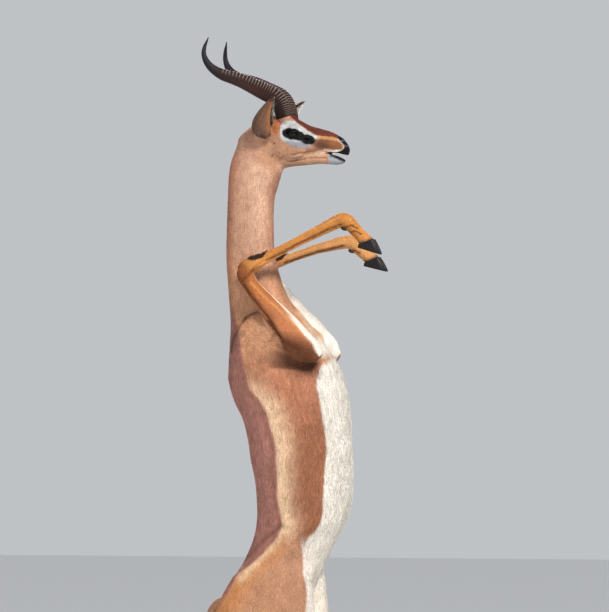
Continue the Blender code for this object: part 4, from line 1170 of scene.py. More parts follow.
def place_on_lines(points):
    """For each point: its part's number, way along, turn round the line, distance and the coat's lie."""
    starts = np.concatenate([line for _, line, _ in LINES])
    radii = np.concatenate([radius for _, _, radius in LINES])
    ways = np.concatenate([np.gradient(line, axis=0) for _, line, _ in LINES])
    ways /= np.linalg.norm(ways, axis=1)[:, None]
    along = np.concatenate([np.concatenate([[0], np.cumsum(np.linalg.norm(np.diff(line, axis=0), axis=1))])
                            for _, line, _ in LINES])
    owner = np.concatenate([np.full(len(line), i) for i, (_, line, _) in enumerate(LINES)])
    starts32, radii32 = starts.astype(np.float32), radii.astype(np.float32)
    best = np.zeros(len(points), int)
    lie = np.zeros((len(points), 3))
    for low in range(0, len(points), 20000):
        some = points[low:low + 20000].astype(np.float32)
        square = (some ** 2).sum(1)[:, None] + (starts32 ** 2).sum(1)[None] - 2 * some @ starts32.T
        apart = np.sqrt(np.maximum(square, 0)) - radii32
        best[low:low + 20000] = np.argmin(apart, axis=1)
        weight = np.exp(-((apart - apart.min(axis=1)[:, None]) / 0.012))
        lie[low:low + 20000] = weight @ ways.astype(np.float32)
    lie /= np.maximum(np.linalg.norm(lie, axis=1), 1e-9)[:, None]
    offset = points - starts[best]
    way = ways[best]
    beyond = (offset * way).sum(1)
    flat = offset - way * beyond[:, None]
    reach = np.linalg.norm(flat, axis=1)
    first = np.where(np.abs(way[:, 1:2]) < 0.8, np.array([[0.0, 1.0, 0.0]]), np.array([[1.0, 0.0, 0.0]]))
    first = first - way * (first * way).sum(1)[:, None]
    first /= np.linalg.norm(first, axis=1)[:, None]
    second = np.cross(way, first)
    turn = np.arctan2((flat * second).sum(1), (flat * first).sum(1))
    return owner[best], along[best] + beyond, turn, reach, lie


def unwrap(owner, along, turn):
    """Where a root lies on the flat unwrap of the skin: one strip a part, round it and along it."""
    across = STRIP_START + STRIP_STEP * owner + STRIP_WIDTH * (turn / (2 * math.pi) + 0.5)
    return np.stack([across, STRIP_FOOT + STRIP_HEIGHT * np.clip(along / LONGEST_PART, 0, 1)], axis=1)


# Markings.


def tone(word, points):
    """One named colour for every point."""
    return np.tile(np.array(TONES[word], float), (len(points), 1))


def blend(colour, word, share):
    return colour + (np.array(TONES[word]) - colour) * np.clip(share, 0, 1)[:, None]


def mix(colour, other, share):
    return colour + (other - colour) * share[:, None]


def across_line(line, down):
    """Where a line that runs down the chart stands at each height."""
    rows = sorted(line, key=lambda row: row[1])
    return np.interp(down, column(rows, 1), column(rows, 0))


def down_line(line, across):
    """How far down a line that runs across the chart is."""
    rows = sorted(line, key=lambda row: row[0])
    return np.interp(across, column(rows, 0), column(rows, 1))


def oval_at(across, down, centre, radii, turn):
    """Below 1 inside an oval of the chart, with its turn in degrees."""
    turn = math.radians(turn)
    x, y = across - centre[0], down - centre[1]
    return np.hypot((x * math.cos(turn) + y * math.sin(turn)) / radii[0],
                    (-x * math.sin(turn) + y * math.cos(turn)) / radii[1])


def oval(word, across, down):
    return oval_at(across, down, *OVALS[word])


def step(value, width):
    """0 to 1 as the value passes 0, over this width."""
    return clean_ease(value / width + 0.5)


def past(value, word):
    """0 to 1 as the value passes a named place."""
    place, width = CHANGES[word]
    return step(value - place, width)


def before(value, word):
    """1 to 0 as the value passes a named place."""
    place, width = CHANGES[word]
    return step(place - value, width)


def about(value, word):
    """1 at a named place, less on both sides."""
    place, width = CHANGES[word]
    return hump(value - place, width)


def wobble(points, size, seed):
    """A smooth uneven field of about -1 to 1, for edges that aren't ruled."""
    rng = np.random.default_rng(seed)
    total = np.zeros(len(points))
    for _ in range(7):
        way = rng.normal(size=3)
        way /= np.linalg.norm(way)
        total += np.sin(points @ way * (2 * math.pi / (size * rng.uniform(0.6, 1.6))) + rng.uniform(0, 6.3))
    return total / 3.2


def coat_colour(points, normals, owner):
    """The coat's colour at each point, the same for skin and tufts."""
    height = points[:, 2]
    across, down = chart(points)
    across = across + 0.7 * wobble(points, 0.06, 1) * (height < 1.9)
    down = down + 0.35 * wobble(points, 0.012, 2)
    name = np.array(LINE_NAMES)[owner]
    colour = neck_colour(tone("neck", points), height, across, down)
    colour = mix(colour, trunk_colour(points, across, down), past(down, "trunk"))
    streaks = wobble(points * (1, 1, 0.22), 0.0045, 7) * 0.5 + wobble(points * (1, 1, 0.3), 0.011, 8) * 0.5
    colour = colour * (1 + 0.15 * streaks)[:, None]
    colour = chest_colour(colour, points, normals, across, down)
    colour = hind_colour(colour, points, normals, across, down)
    colour = foreleg_colour(colour, points, normals, across, down, name)
    tail = name == "tail"
    colour = blend(colour, "tail", tail * 0.9)
    colour = blend(colour, "ink", tail * before(height, "tail tuft height"))
    head_foot = 1.915 + 0.45 * np.clip(-points[:, 0] - 0.02, 0, 1)
    head = step(height - head_foot, 0.03) * ((name == "head") | (name == "trunk"))
    colour = mix(colour, face_colour(points, normals, across, down), np.clip(head, 0, 1))
    for side in (-1, 1):
        shade, show = ear_colour(points, normals, side)
        colour = mix(colour, shade, show * (name == f"ear_{word_of(side)}"))
    return np.clip(colour, 0.002, 0.95)


def neck_colour(colour, height, across, down):
    """A reddish nape, a paler middle, painted shade along the throat, warmer towards the shoulder."""
    back, front = across_line(NECK_BACK, down), across_line(NECK_FRONT, down)
    neck = before(height, "skull height")
    colour = blend(colour, "nape", (1 - past(across - back, "nape")) * neck * 0.85)
    colour = blend(colour, "shoulder", past(down, "low neck") * 0.75 * neck)
    middle = about(across, "neck middle") * before(down, "upper neck") * neck
    colour = blend(colour, "neck middle", middle * 0.5)
    # Painted shade along the front edge of the neck.
    return blend(colour, "throat", (1 - past(front - across, "throat")) * neck * 0.75)


def trunk_colour(points, across, down):
    """A dark saddle, a pale band, a brown flank and a white belly."""
    saddle, belly = across_line(SADDLE_LINE, down), across_line(BELLY_LINE, down)
    pale = np.clip(1 - (across - saddle - 3) / 30, 0, 1)
    side = blend(tone("flank", points), "band", clean_ease(pale) * past(down, "band"))
    side = blend(side, "flank edge", past(across - belly, "flank edge") * past(down, "low ribs") * 0.5)
    side = blend(side, "low flank", clean_ease(1.45 - oval("low flank", across, down)) * 0.85)
    side = blend(side, "fold", hump(distance_to(FLANK_FOLD, across, down), 4.0) * 0.8)
    side = blend(side, "shoulder", 1 - past(down, "ribs"))
    body = blend(tone("saddle", points), "saddle rim", about(across - saddle, "saddle rim") * 0.5)
    body = mix(body, side, past(across - saddle, "saddle"))
    return blend(body, "belly", past(across - belly, "belly") * past(down, "belly top"))


def chest_colour(colour, points, normals, across, down):
    """The pale chest between the forelegs, painted shadow in the arm pit and painted shade in the folds."""
    chest = past(across - across_line(CHEST_LINE, down), "chest")
    chest *= past(down, "chest top") * before(down, "chest foot")
    colour = blend(colour, "chest", chest * 0.9)
    # Painted shadow in the arm pit, under the elbow.
    pit_shadow = clean_ease(1.4 - oval("arm pit", across, down))
    colour = blend(colour, "arm pit", pit_shadow * before(across, "arm pit") * 0.95)
    # Painted shade along the folds of FORMS that have a strength, on the sides only.
    outside = step(np.abs(normals[:, 1]) - 0.35, 0.3) * (points[:, 1] ** 2 > 0.0009)
    for line, _, _, wide, strength in FORMS:
        if strength:
            shade = hump(distance_to(line, across, down), wide) * outside
            colour = blend(colour, "fold shade", shade * strength)
    breast = past(across, "breast") * past(down, "breast top") * before(down, "breast foot")
    return blend(colour, "belly", breast * 0.9)


def hind_colour(colour, points, normals, across, down):
    """Tan outside and white inside the hind legs, and the white rump patch with its reddish rim."""
    height, side_y = points[:, 2], np.abs(points[:, 1])
    saddle = across_line(SADDLE_LINE, down)
    hind = past(down - down_line(HIP_LINE, across), "hip") * (height < 1.02)
    hind *= np.maximum(past(across - saddle, "saddle"), past(down, "rump"))
    rows = HIND_LEG[::-1]
    inner = step(np.interp(height, column(rows, 0), column(rows, 3)) - side_y - 0.012, 0.016)
    thigh = blend(tone("thigh", points), "leg", before(height, "low leg height") * 0.6)
    thigh = blend(thigh, "thigh back", 1 - past(across - saddle, "thigh back"))
    thigh = blend(thigh, "fold", hump(distance_to(FLANK_FOLD, across, down), 4.5) * 0.75)
    thigh = blend(thigh, "thigh middle", past(across, "thigh middle") * 0.5)
    thigh = blend(thigh, "belly", past(across - across_line(THIGH_FRONT, down), "thigh front") * 0.9)
    inner = inner * (1 - 0.65 * before(height, "hock height"))
    thigh = blend(thigh, "inner thigh", inner * before(height, "groin height"))
    colour = mix(colour, thigh, hind)
    rump = np.hypot((side_y + 0.004) / 0.060, (height - 0.715) / 0.125)
    behind = step(-normals[:, 0] - 0.25, 0.3) * (points[:, 0] < -0.13)
    colour = blend(colour, "rump rim", (1 - step(rump - 1.22, 0.12)) * behind * 0.85)
    return blend(colour, "rump", (1 - step(rump - 1.0, 0.10)) * behind)


def foreleg_colour(colour, points, normals, across, down, name):
    """Orange tan outside, white inside and in front of the forearm, a dark knee, painted shade by the elbow
    and in the grooves, and painted highlights on the ridges.
    """
    height, side = points[:, 2], np.sign(points[:, 1])
    outward = side * normals[:, 1]
    arm, cannon = np.char.startswith(name, "arm"), np.char.startswith(name, "cannon")
    outer = blend(tone("leg", points), "cannon", cannon)
    outer = blend(outer, "forearm", before(height, "forearm height") * arm)
    # Painted shade on the forearm's end by the elbow.
    outer = blend(outer, "elbow", clean_ease(1.4 - oval("elbow", across, down)) * arm * 0.9)
    inside = step(0.097 - np.abs(points[:, 1]) + 0.0035 * (height < 1.5), 0.014)
    inside = inside * step(0.35 - 0.5 * before(height, "elbow height") - outward, 0.4)
    foreward = normals @ np.array((0.77, 0.0, 0.64))
    reach = 0.05 + 0.72 * np.clip((1.625 - height) / 0.14, 0, 1)
    edge = step(foreward - 0.40, 0.25) * step(reach - outward, 0.22) * before(height, "white edge height")
    outer = blend(outer, "forearm white", np.maximum(inside, edge) * arm)
    outer = blend(outer, "inner cannon", inside * cannon * 0.75)
    # Painted shade along the grooves and painted highlights along the ridges of the raised legs.
    for form_side, line, rise, width in LEG_FORMS:
        groove = hump(distance_to(line, across, down), 0.8 * width) * (side == form_side)
        outer = blend(outer, "groove", groove * 0.9 * (rise < 0))
        outer = blend(outer, "ridge", groove * 0.42 * (rise > 0))
    colour = np.where((arm | cannon)[:, None], outer, colour)
    knee = np.hypot((points[:, 0] + 0.072) / 0.026, (height - 1.700) / 0.016)
    knee = (1 - step(knee - 0.9, 0.5)) * (cannon | arm) * step(normals[:, 2] + 0.35, 0.4)
    colour = blend(colour, "knee", knee * 0.9)
    joint = np.hypot((points[:, 0] + 0.104) / 0.034, (height - 1.650) / 0.034)
    return blend(colour, "knee side", (1 - step(joint - 0.85, 0.7)) * (arm | cannon) * 0.8)


def face_colour(points, normals, across, down):
    """The whole face, from the cheeks to the nose."""
    face = cheek_colour(tone("neck", points) * 0.96, across, down)
    face = muzzle_colour(face, across, down)
    face = eye_ring_colour(face, points, across, down)
    for spot, radii in SPOTS:
        inside = 1 - step(oval_at(across, down, spot, radii, SPOT_TURN) - 1, 0.5)
        face = blend(face, "spot", inside * 0.8)
    return mouth_colour(face, points, normals, across, down)


def cheek_colour(face, across, down):
    face = blend(face, "cheek", past(across, "cheek"))
    face = blend(face, "horn foot", 1 - step(oval("horn foot", across, down) - 0.9, 0.6))
    under = past(down - down_line(CHEEK_LINE, across), "under cheek") * past(across, "behind cheek")
    face = blend(face, "under cheek", under * 0.85)
    face = blend(face, "jaw", past(down, "jaw") * past(across, "jaw back") * 0.8)
    return blend(face, "jaw edge", past(down, "jaw edge") * past(across, "jaw edge back") * 0.7)


def muzzle_colour(face, across, down):
    """The dark muzzle, its paler side over the lip, the lines of the cheek and the pale stripe."""
    face = blend(face, "muzzle", past(across, "muzzle") * before(down, "muzzle foot"))
    nose_side = past(across, "nose side") * before(down, "nose side foot") * past(down, "nose side top")
    face = blend(face, "nose side", nose_side * 0.85)
    face = blend(face, "muzzle side", (1 - step(oval("muzzle side", across, down) - 0.9, 0.8)) * 0.75)
    face = blend(face, "lip side", 1 - step(oval("lip side", across, down) - 0.8, 0.6))
    for line in FACE_LINES:
        face = blend(face, "face line", hump(distance_to(line, across, down), 0.85) * 0.7)
    face = blend(face, "mouth corner", about(across, "mouth corner") * past(down, "mouth corner top"))
    under_blaze = down - down_line(BLAZE_LINE, across)
    stripe = past(under_blaze, "blaze foot") * past(-under_blaze, "pale stripe")
    stripe = stripe * past(across, "pale stripe back") * before(across, "pale stripe front")
    return blend(face, "pale stripe", stripe)


def eye_ring_colour(face, points, across, down):
    """The white ring, the black patch of eye and gland in it, and the dark blaze over it."""
    ring = past(down - down_line(RING_TOP, across), "ring top")
    ring = ring * past(down_line(RING_LOW, across) - down, "ring foot")
    ring *= past(across, "ring back") * before(across, "ring front")
    # Painted shade: the lower part of the white ring is darker and grey-blue.
    white = blend(tone("white", points), "ring shade", past(down, "ring shade") * 0.9)
    white = white * (1 + 0.16 * wobble(points, 0.0065, 4))[:, None]
    face = mix(face, white, ring)
    patch = np.minimum(np.minimum(oval("eye", across, down), oval("gland", across, down)),
                       oval("bridge", across, down))
    face = blend(face, "ink", (1 - step(patch - 1, 0.16)) * (np.abs(points[:, 1]) > 0.018))
    blaze = past(down_line(BLAZE_LINE, across) - down, "blaze") * past(points[:, 0], "brow")
    face = blend(face, "blaze", blaze)
    face = blend(face, "blaze front", blaze * past(across, "blaze front") * 0.55)
    crown = step(0.0 - points[:, 0], 0.02) * past(points[:, 2], "crown height")
    return blend(face, "crown", crown * (np.abs(points[:, 1]) < 0.05) * 0.7)


def mouth_colour(face, points, normals, across, down):
    """Chin, lips, nose and nostrils."""
    height = points[:, 2]
    # The white chin is painted grey-blue: painted shade under the jaw.
    chin = past(down, "chin") * past(across, "chin back")
    face = blend(face, "chin", chin * (height < 1.9615))
    white_lip = (1 - step(oval("white lip", across, down) - 0.9, 0.5)) * (height > 1.962)
    face = blend(face, "white lip", white_lip * 0.9)
    past_nose = across - across_line(NOSE_LINE, down)
    above_lip = height > 1.956
    rim = about(past_nose, "nose rim") * (down > 139.5) * (down < 150)
    face = blend(face, "nose rim", rim * above_lip * 0.8)
    face = blend(face, "ink", past(past_nose, "nose") * above_lip)
    # A grey-blue ring round each nostril: painted sheen on the black nose.
    nostril = oval("nostril", across, down)
    face = blend(face, "nostril", (1 - step(nostril - 1.75, 0.5)) * step(nostril - 1.05, 0.3) * 0.9)
    upper = hump(distance_to(UPPER_LIP_LINE, across, down), 1.1)
    face = blend(face, "ink", np.clip(1.5 * upper, 0, 1) * (across > 327.5))
    lower = hump(distance_to(LOWER_LIP_LINE, across, down), down_line(LOWER_LIP_WIDTH, across))
    face = blend(face, "lower lip", np.clip(1.5 * lower, 0, 1) * (across > 328))
    gap = np.abs(height - np.interp(points[:, 0], [0.10, 0.15], [1.961, 1.953])) < 0.006
    inside = (np.abs(points[:, 1]) < 0.0145) & (across > 322) & gap & (np.abs(normals[:, 2]) > 0.55)
    return blend(face, "mouth", inside)


def ear_colour(points, normals, side):
    """Back and lining of one ear, and how much of it shows, from its foot outwards."""
    base, along, opening, over, length = ear_frame(side)
    offset = points - np.array(base)
    share = (offset @ np.array(along)) / length
    sideways = offset @ np.array(over) * side
    axis = np.array(base) + share[:, None] * length * np.array(along) - 0.004 * np.array(opening)
    radius = np.interp(share, column(EAR, 0), column(EAR, 1))
    rearward = -((points - axis) @ np.array(opening)) / EAR_DEPTH
    angle = np.degrees(np.arctan2(np.abs(sideways), rearward))
    to_rim = np.interp(share, column(EAR, 0), column(EAR, 2)) - angle
    inner = ((axis - points) * normals).sum(1) > 0
    inner &= (share > 0.17) & (np.hypot(sideways, rearward) < radius - 0.0012)
    streak = wobble(np.stack([angle * 0.0011 * side, share * 0.006, 0 * share], axis=1), 0.011, 9)
    back = blend(tone("ear back", points), "ear foot", (1 - step(share - 0.22, 0.34)) * 0.8)
    back = back * (1 + 0.30 * streak)[:, None]
    back = blend(back, "ear rim", (1 - step(to_rim - 26, 34)) * step(share - 0.25, 0.3) * 0.75)
    back = blend(back, "ear tip", step(share - 0.86, 0.12) * 0.85)
    edge = np.clip(np.abs(sideways) / np.maximum(radius, 0.002), 0, 1.2)
    hair = hump(edge - 0.62, 0.18) + step(edge - 0.9, 0.1) * 0.6
    lining = blend(tone("ear lining", points), "ear hair", hair)
    lining = blend(lining, "ear lining tip", step(share - 0.82, 0.1) * 0.7)
    return np.where(inner[:, None], lining, back), step(share - 0.02, 0.10)


# Tufts.


def sizes_at(points, owner):
    """Length, width, thickness, lift and density of the coat at each point."""
    kinds = [name.split("_")[0] for name in LINE_NAMES]
    table = np.array([COAT_SIZES[kind] for kind in kinds])
    found = table[owner]
    neck = (owner == 0) & (points[:, 2] > 1.5)
    share = step(points[:, 2] - 1.56, 0.16)[:, None] * neck[:, None]
    found = found + (np.array(COAT_SIZES["neck"]) - found) * share
    low = step(0.55 - points[:, 2], 0.3) * np.char.startswith(np.array(LINE_NAMES)[owner], "hind")
    found = found + (np.array(COAT_SIZES["cannon"]) - found) * low[:, None]
    muzzle = step(points[:, 0] - 0.06, 0.06)[:, None] * (points[:, 2] > 1.92)[:, None]
    found = found + (np.array(COAT_SIZES["muzzle"]) - found) * muzzle
    high = step(points[:, 2] - 1.90, 0.05)[:, None] * (owner == 0)[:, None]
    return found + (np.array(COAT_SIZES["head"]) - found) * high


def bald(points, colour, normals):
    """Where no hair grows: lid edges, nose, lips, the mouth's inside and what the horns hide."""
    side_y = np.abs(points[:, 1])
    eye = np.linalg.norm(one_sided(points) - np.array(EYE_CENTRE), axis=1)
    none = eye < EYE_RADIUS + 0.0011
    across, down = chart(points)
    black = (points[:, 2] > 1.94) & (colour.max(axis=1) < 0.03)
    nose, lips = across > 337, (across > 326) & (down > 150)
    none |= black & (nose | lips)
    mouth = (points[:, 2] > 1.945) & (points[:, 2] < 1.966) & (side_y < 0.011)
    mouth &= (points[:, 0] > 0.09) & (points[:, 0] < 0.150)
    none |= mouth & (np.abs(normals[:, 2]) > 0.6)
    foot = one_sided(points) - np.array(HORN_FOOT)
    axis = np.array(HORN_AXIS)
    rise = foot @ axis
    aside = np.linalg.norm(foot - rise[:, None] * axis, axis=1)
    none |= (rise > -0.001) & (aside < 0.024)
    return none


def strands(name, roots, normals, lies, lengths, widths, thick, lifts, colours, flat, look, tips, rings=1,
            droop=0.0):
    """Solid tufts of three sides as joined meshes: rings is the number of sections before the tip."""
    count = len(roots)
    per = 3 * rings + 1
    sides = np.cross(normals, lies)
    lift = np.radians(lifts)[:, None]
    shares = np.arange(rings) / rings
    profile = np.ones(1) if rings == 1 else np.interp(shares, (0, 0.3, 0.65, 1), (0.75, 1.0, 0.72, 0.1))
    points = np.empty((count, per, 3))
    spread = np.empty((count, per, 2))
    tint = np.empty((count, per, 3))
    for j in range(rings + 1):
        share = 1.0 if j == rings else shares[j]
        rise = np.sin(lift) * share - droop * share * share
        centre = roots + lengths[:, None] * (lies * np.cos(lift) * share + normals * rise)
        if j == rings:
            points[:, -1] = centre
            spread[:, -1] = (0, 0.0014)
            tint[:, -1] = colours * np.array(tips)
            continue
        half = (widths * profile[j] / 2)[:, None]
        points[:, 3 * j] = centre + sides * half
        points[:, 3 * j + 1] = centre + normals * (thick * profile[j])[:, None]
        points[:, 3 * j + 2] = centre - sides * half
        for corner, aside in enumerate((-0.0012, 0.0, 0.0012)):
            spread[:, 3 * j + corner] = (aside, -0.0013 + 0.0026 * share)
            tint[:, 3 * j + corner] = colours * (1 + (np.array(tips) - 1) * share)
    pattern = [(0, 2, 1)]
    for j in range(rings - 1):
        low, high = 3 * j, 3 * (j + 1)
        for a, b in ((0, 1), (1, 2), (2, 0)):
            pattern += [(low + a, low + b, high + b), (low + a, high + b, high + a)]
    top = 3 * (rings - 1)
    pattern += [(top, top + 1, per - 1), (top + 1, top + 2, per - 1), (top + 2, top, per - 1)]
    pattern = np.array(pattern)
    limit = MOST_TRIANGLES // len(pattern)
    for number, low in enumerate(range(0, count, limit)):
        some = slice(low, min(count, low + limit))
        amount = some.stop - some.start
        faces = (pattern[None] + per * np.arange(amount)[:, None, None]).reshape(-1, 3)
        label = name if count <= limit else f"{name}_{number + 1}"
        piece = mesh_object(label, points[some].reshape(-1, 3), faces)
        corners = (flat[some][:, None] + spread[some]).reshape(-1, 2)[faces.ravel()]
        piece.data.uv_layers.new(name="OFBake")
        piece.data.uv_layers["OFBake"].data.foreach_set("uv", corners.astype(np.float32).ravel())
        paint(piece.data, tint[some].reshape(-1, 3))
        soft = np.repeat(normals[some][:, None], per, axis=1)
        leans = np.tile(np.array([-0.7, 0.0, 0.7]), rings)
        soft[:, :-1] += sides[some][:, None] * -leans[None, :, None]
        soft /= np.linalg.norm(soft, axis=2)[:, :, None]
        piece.data.materials.append(look)
        smooth_shaded(piece)
        piece.data.normals_split_custom_set_from_vertices(soft.reshape(-1, 3).astype(np.float32))
        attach(piece, "root")


def paint(mesh, colours):
    layer = mesh.color_attributes.new("Coat", "FLOAT_COLOR", "POINT")
    values = np.ones((len(mesh.vertices), 4), np.float32)
    values[:, :3] = colours
    layer.data.foreach_set("color", values.ravel())


def triangles_of(mesh):
    mesh.calc_loop_triangles()
    faces = np.empty(len(mesh.loop_triangles) * 3, np.int32)
    mesh.loop_triangles.foreach_get("vertices", faces)
    return faces.reshape(-1, 3)


def grow_coat(skin, look, rng):
    """Short tufts over the whole skin, and the colours and the lie for the skin itself."""
    mesh = skin.data
    points, normals = points_of(mesh), normals_of(mesh)
    owner, along, turn, reach, lie = place_on_lines(points)
    colour = coat_colour(points, normals, owner)
    paint(mesh, colour)
    layer = mesh.attributes.new("Lie", "FLOAT_VECTOR", "POINT")
    grain = np.stack([turn * reach, along, owner * 0.5], axis=1)
    layer.data.foreach_set("vector", grain.astype(np.float32).ravel())
    faces = triangles_of(mesh)
    corners = points[faces]
    cross = np.cross(corners[:, 1] - corners[:, 0], corners[:, 2] - corners[:, 0])
    area = np.linalg.norm(cross, axis=1) / 2
    centre = corners.mean(axis=1)
    sizes = sizes_at(centre, owner[faces[:, 0]])
    weight = area * sizes[:, 4] * 1e4
    weight *= ~bald(centre, colour[faces].mean(axis=1), normals[faces[:, 0]])
    ends = np.cumsum(weight)
    count = int(ends[-1])
    at = (np.arange(count) + rng.uniform(0, 1, count)) * (ends[-1] / count)
    chosen = np.minimum(np.searchsorted(ends, at), len(faces) - 1)
    a, b = rng.uniform(0, 1, (2, count))
    over = a + b > 1
    a[over], b[over] = 1 - a[over], 1 - b[over]
    bary = np.stack([1 - a - b, a, b], axis=1)[:, :, None]
    root = (corners[chosen] * bary).sum(1)
    normal = (normals[faces[chosen]] * bary).sum(1)
    normal /= np.linalg.norm(normal, axis=1)[:, None]
    way = (lie[faces[chosen]] * bary).sum(1) + rng.normal(0, 0.05, (count, 3))
    way -= normal * (way * normal).sum(1)[:, None]
    way /= np.maximum(np.linalg.norm(way, axis=1), 1e-6)[:, None]
    part = owner[faces[chosen, 0]]
    sizes = sizes_at(root, part)
    owner_root, along_root, turn_root, _, _ = place_on_lines(root)
    shade = coat_colour(root, normal, owner_root)
    tick = rng.normal(1.0, 0.15, count)
    tick *= np.where(rng.uniform(0, 1, count) < 0.12, 0.66, 1.0)
    shade = shade * np.clip(tick, 0.45, 1.35)[:, None]
    scatter = rng.uniform(0.75, 1.2, (3, count))
    root = root - normal * 0.0002
    strands("coat", root, normal, way, sizes[:, 0] * scatter[0], sizes[:, 1] * scatter[1],
            sizes[:, 2] * scatter[2], sizes[:, 3] * rng.uniform(0.6, 1.4, count), shade,
            unwrap(owner_root, along_root, turn_root), look, tips=(1.06, 1.05, 1.04))


def away_from(ways, normals):
    """The ways laid flat on the surface, as unit vectors."""
    flat = ways - normals * (ways * normals).sum(1)[:, None]
    return flat / np.maximum(np.linalg.norm(flat, axis=1), 1e-6)[:, None]


def grow_locks(name, root, normal, way, length, width, lift, colour, rng, look, droop=0.0, rings=3):
    """A group of longer tufts with uneven sizes, all of one colour."""
    count = len(root)
    owner, along, turn, _, _ = place_on_lines(root)
    shade = np.array(colour) * np.clip(rng.normal(1.0, 0.12, count), 0.6, 1.4)[:, None]
    way = away_from(way + rng.normal(0, 0.08, (count, 3)), normal)
    strands(name, root - normal * 0.0003, normal, way, length * rng.uniform(0.7, 1.15, count),
            width * rng.uniform(0.7, 1.2, count), 0.35 * width * np.ones(count),
            lift * rng.uniform(0.7, 1.3, count), shade, unwrap(owner, along, turn), look, rings=rings,
            droop=droop, tips=(0.9, 0.9, 0.9))


def scattered_on(mesh, wanted, count, rng):
    """Even random places on the faces whose middles are wanted, with their normals."""
    points, normals, faces = points_of(mesh), normals_of(mesh), triangles_of(mesh)
    faces = faces[wanted(points[faces].mean(axis=1), normals[faces].mean(axis=1))]
    corners = points[faces]
    area = np.linalg.norm(np.cross(corners[:, 1] - corners[:, 0], corners[:, 2] - corners[:, 0]), axis=1)
    chosen = rng.choice(len(faces), count, p=area / area.sum())
    bary = rng.dirichlet((1, 1, 1), count)[:, :, None]
    normal = (normals[faces[chosen]] * bary).sum(1)
    return (corners[chosen] * bary).sum(1), normal / np.linalg.norm(normal, axis=1)[:, None]


def tail_tuft(mesh, look, rng):
    """The black tuft that hangs from the lower half of the tail."""
    root, normal = scattered_on(mesh, lambda p, n: (p[:, 0] < -0.212) & (p[:, 2] < 0.665) & (p[:, 2] > 0.5)
                                & (np.abs(p[:, 1]) < 0.02), 2600, rng)
    way = np.tile((0.0, 0.0, -1.0), (len(root), 1))
    length = np.interp(root[:, 2], (0.55, 0.60, 0.665), (0.080, 0.075, 0.035))
    grow_locks("tail_tuft", root, normal, way, length, 0.0026, 8, (0.016, 0.012, 0.011), rng, look,
               droop=0.14)


def knee_brushes(mesh, look, rng):
    """The dark brush of longer hair on each knee."""
    def on_knee(p, n):
        reach = np.hypot((p[:, 0] + 0.072) / 0.026, (p[:, 2] - 1.703) / 0.016)
        return (reach < 1.1) & (np.abs(p[:, 1]) > 0.075) & (n[:, 2] > -0.1)
    root, normal = scattered_on(mesh, on_knee, 1500, rng)
    way = np.tile((0.87, 0.0, 0.40), (len(root), 1))
    grow_locks("knee_brush", root, normal, way, 0.015 * np.ones(len(root)), 0.0014, 16, (0.045, 0.025, 0.020),
               rng, look)


def ear_fringes(look, rng):
    """White hair that crosses the opening of each ear from both of its rims."""
    root, normal, way, length = [], [], [], []
    for side in (-1, 1):
        base, along, opening, over, size = ear_frame(side)
        for _ in range(420):
            share = rng.uniform(0.32, 0.95)
            rim = 1 if rng.uniform() < 0.5 else -1
            radius = np.interp(share, column(EAR, 0), column(EAR, 1)) - EAR_WALL
            half_angle = np.interp(share, column(EAR, 0), column(EAR, 2))
            turn = rim * math.radians(half_angle - rng.uniform(1, 26))
            out = -opening * (EAR_DEPTH * math.cos(turn)) + over * math.sin(turn)
            middle = base + along * (size * share) - opening * (0.004 * math.sin(math.pi * share))
            root.append(tuple(middle + out * radius))
            normal.append(tuple(-out.normalized()))
            way.append(tuple(along * 0.8 + opening * 0.75 - over * (rim * 0.35)))
            length.append(0.004 + 0.010 * math.sin(math.pi * min(1.0, share + 0.1)))
    root, normal, way = (np.array(rows) for rows in (root, normal, way))
    grow_locks("ear_fringe", root, normal, way, np.array(length), 0.0008, 12, (0.66, 0.62, 0.56), rng, look)


def eyelashes(look, rng):
    """Short dark lashes along the upper lid."""
    root, normal, way = [], [], []
    for side in (-1, 1):
        for t in np.linspace(0.12, 0.88, 46):
            angle = math.pi * t
            across, up = lid_turned(0.0150 * math.cos(angle), 0.0094 * math.sin(angle) ** 0.85)
            out = math.sqrt(max(0.0, (EYE_RADIUS + 0.0016) ** 2 - across ** 2 - up ** 2))
            root.append((EYE_CENTRE[0] + across, side * (EYE_CENTRE[1] + out), EYE_CENTRE[2] + up))
            normal.append((0.1, side * 0.8, 0.6))
            way.append((0.35 * math.cos(angle) + 0.1, side * 0.75, 0.25))
    root, normal, way = (np.array(rows) for rows in (root, normal, way))
    normal /= np.linalg.norm(normal, axis=1)[:, None]
    grow_locks("eyelashes", root, normal, way, 0.0062 * np.ones(len(root)), 0.0005, 10,
               (0.010, 0.008, 0.008), rng, look, droop=0.25)


def coronet_fringes(mesh, look, rng):
    """Hair that hangs over the top of each hoof."""
    for word, place, coronet, lean in foot_frames():
        middle = np.array(place @ Vector(coronet))
        toe = np.array((place @ Matrix.Rotation(math.radians(-lean), 4, "Y")).to_3x3() @ Vector((0, 0, -1)))
        root, normal = scattered_on(mesh, lambda p, n: (np.abs((p - middle) @ toe + 0.004) < 0.005)
                                    & (np.linalg.norm(p - middle, axis=1) < 0.032), 700, rng)
        way = np.tile(toe, (len(root), 1))
        shade = (0.30, 0.13, 0.065) if "fore" in word else (0.36, 0.20, 0.12)
        grow_locks(f"coronet_fringe_{word}", root, normal, way, 0.0085 * np.ones(len(root)), 0.0009, 9, shade,
                   rng, look, rings=2)


# Materials.


def shader_of(name, roughness, colour=(0.5, 0.5, 0.5), **more):
    """A new node material and its Principled shader, with constants on the shader's own sockets."""
    made = bpy.data.materials.new(name)
    made.use_nodes = True
    shader = made.node_tree.nodes["Principled BSDF"]
    shader.inputs["Base Color"].default_value = (*colour, 1)
    shader.inputs["Roughness"].default_value = roughness
    for socket, value in more.items():
        shader.inputs[socket.replace("_", " ")].default_value = value
    return made, made.node_tree, shader


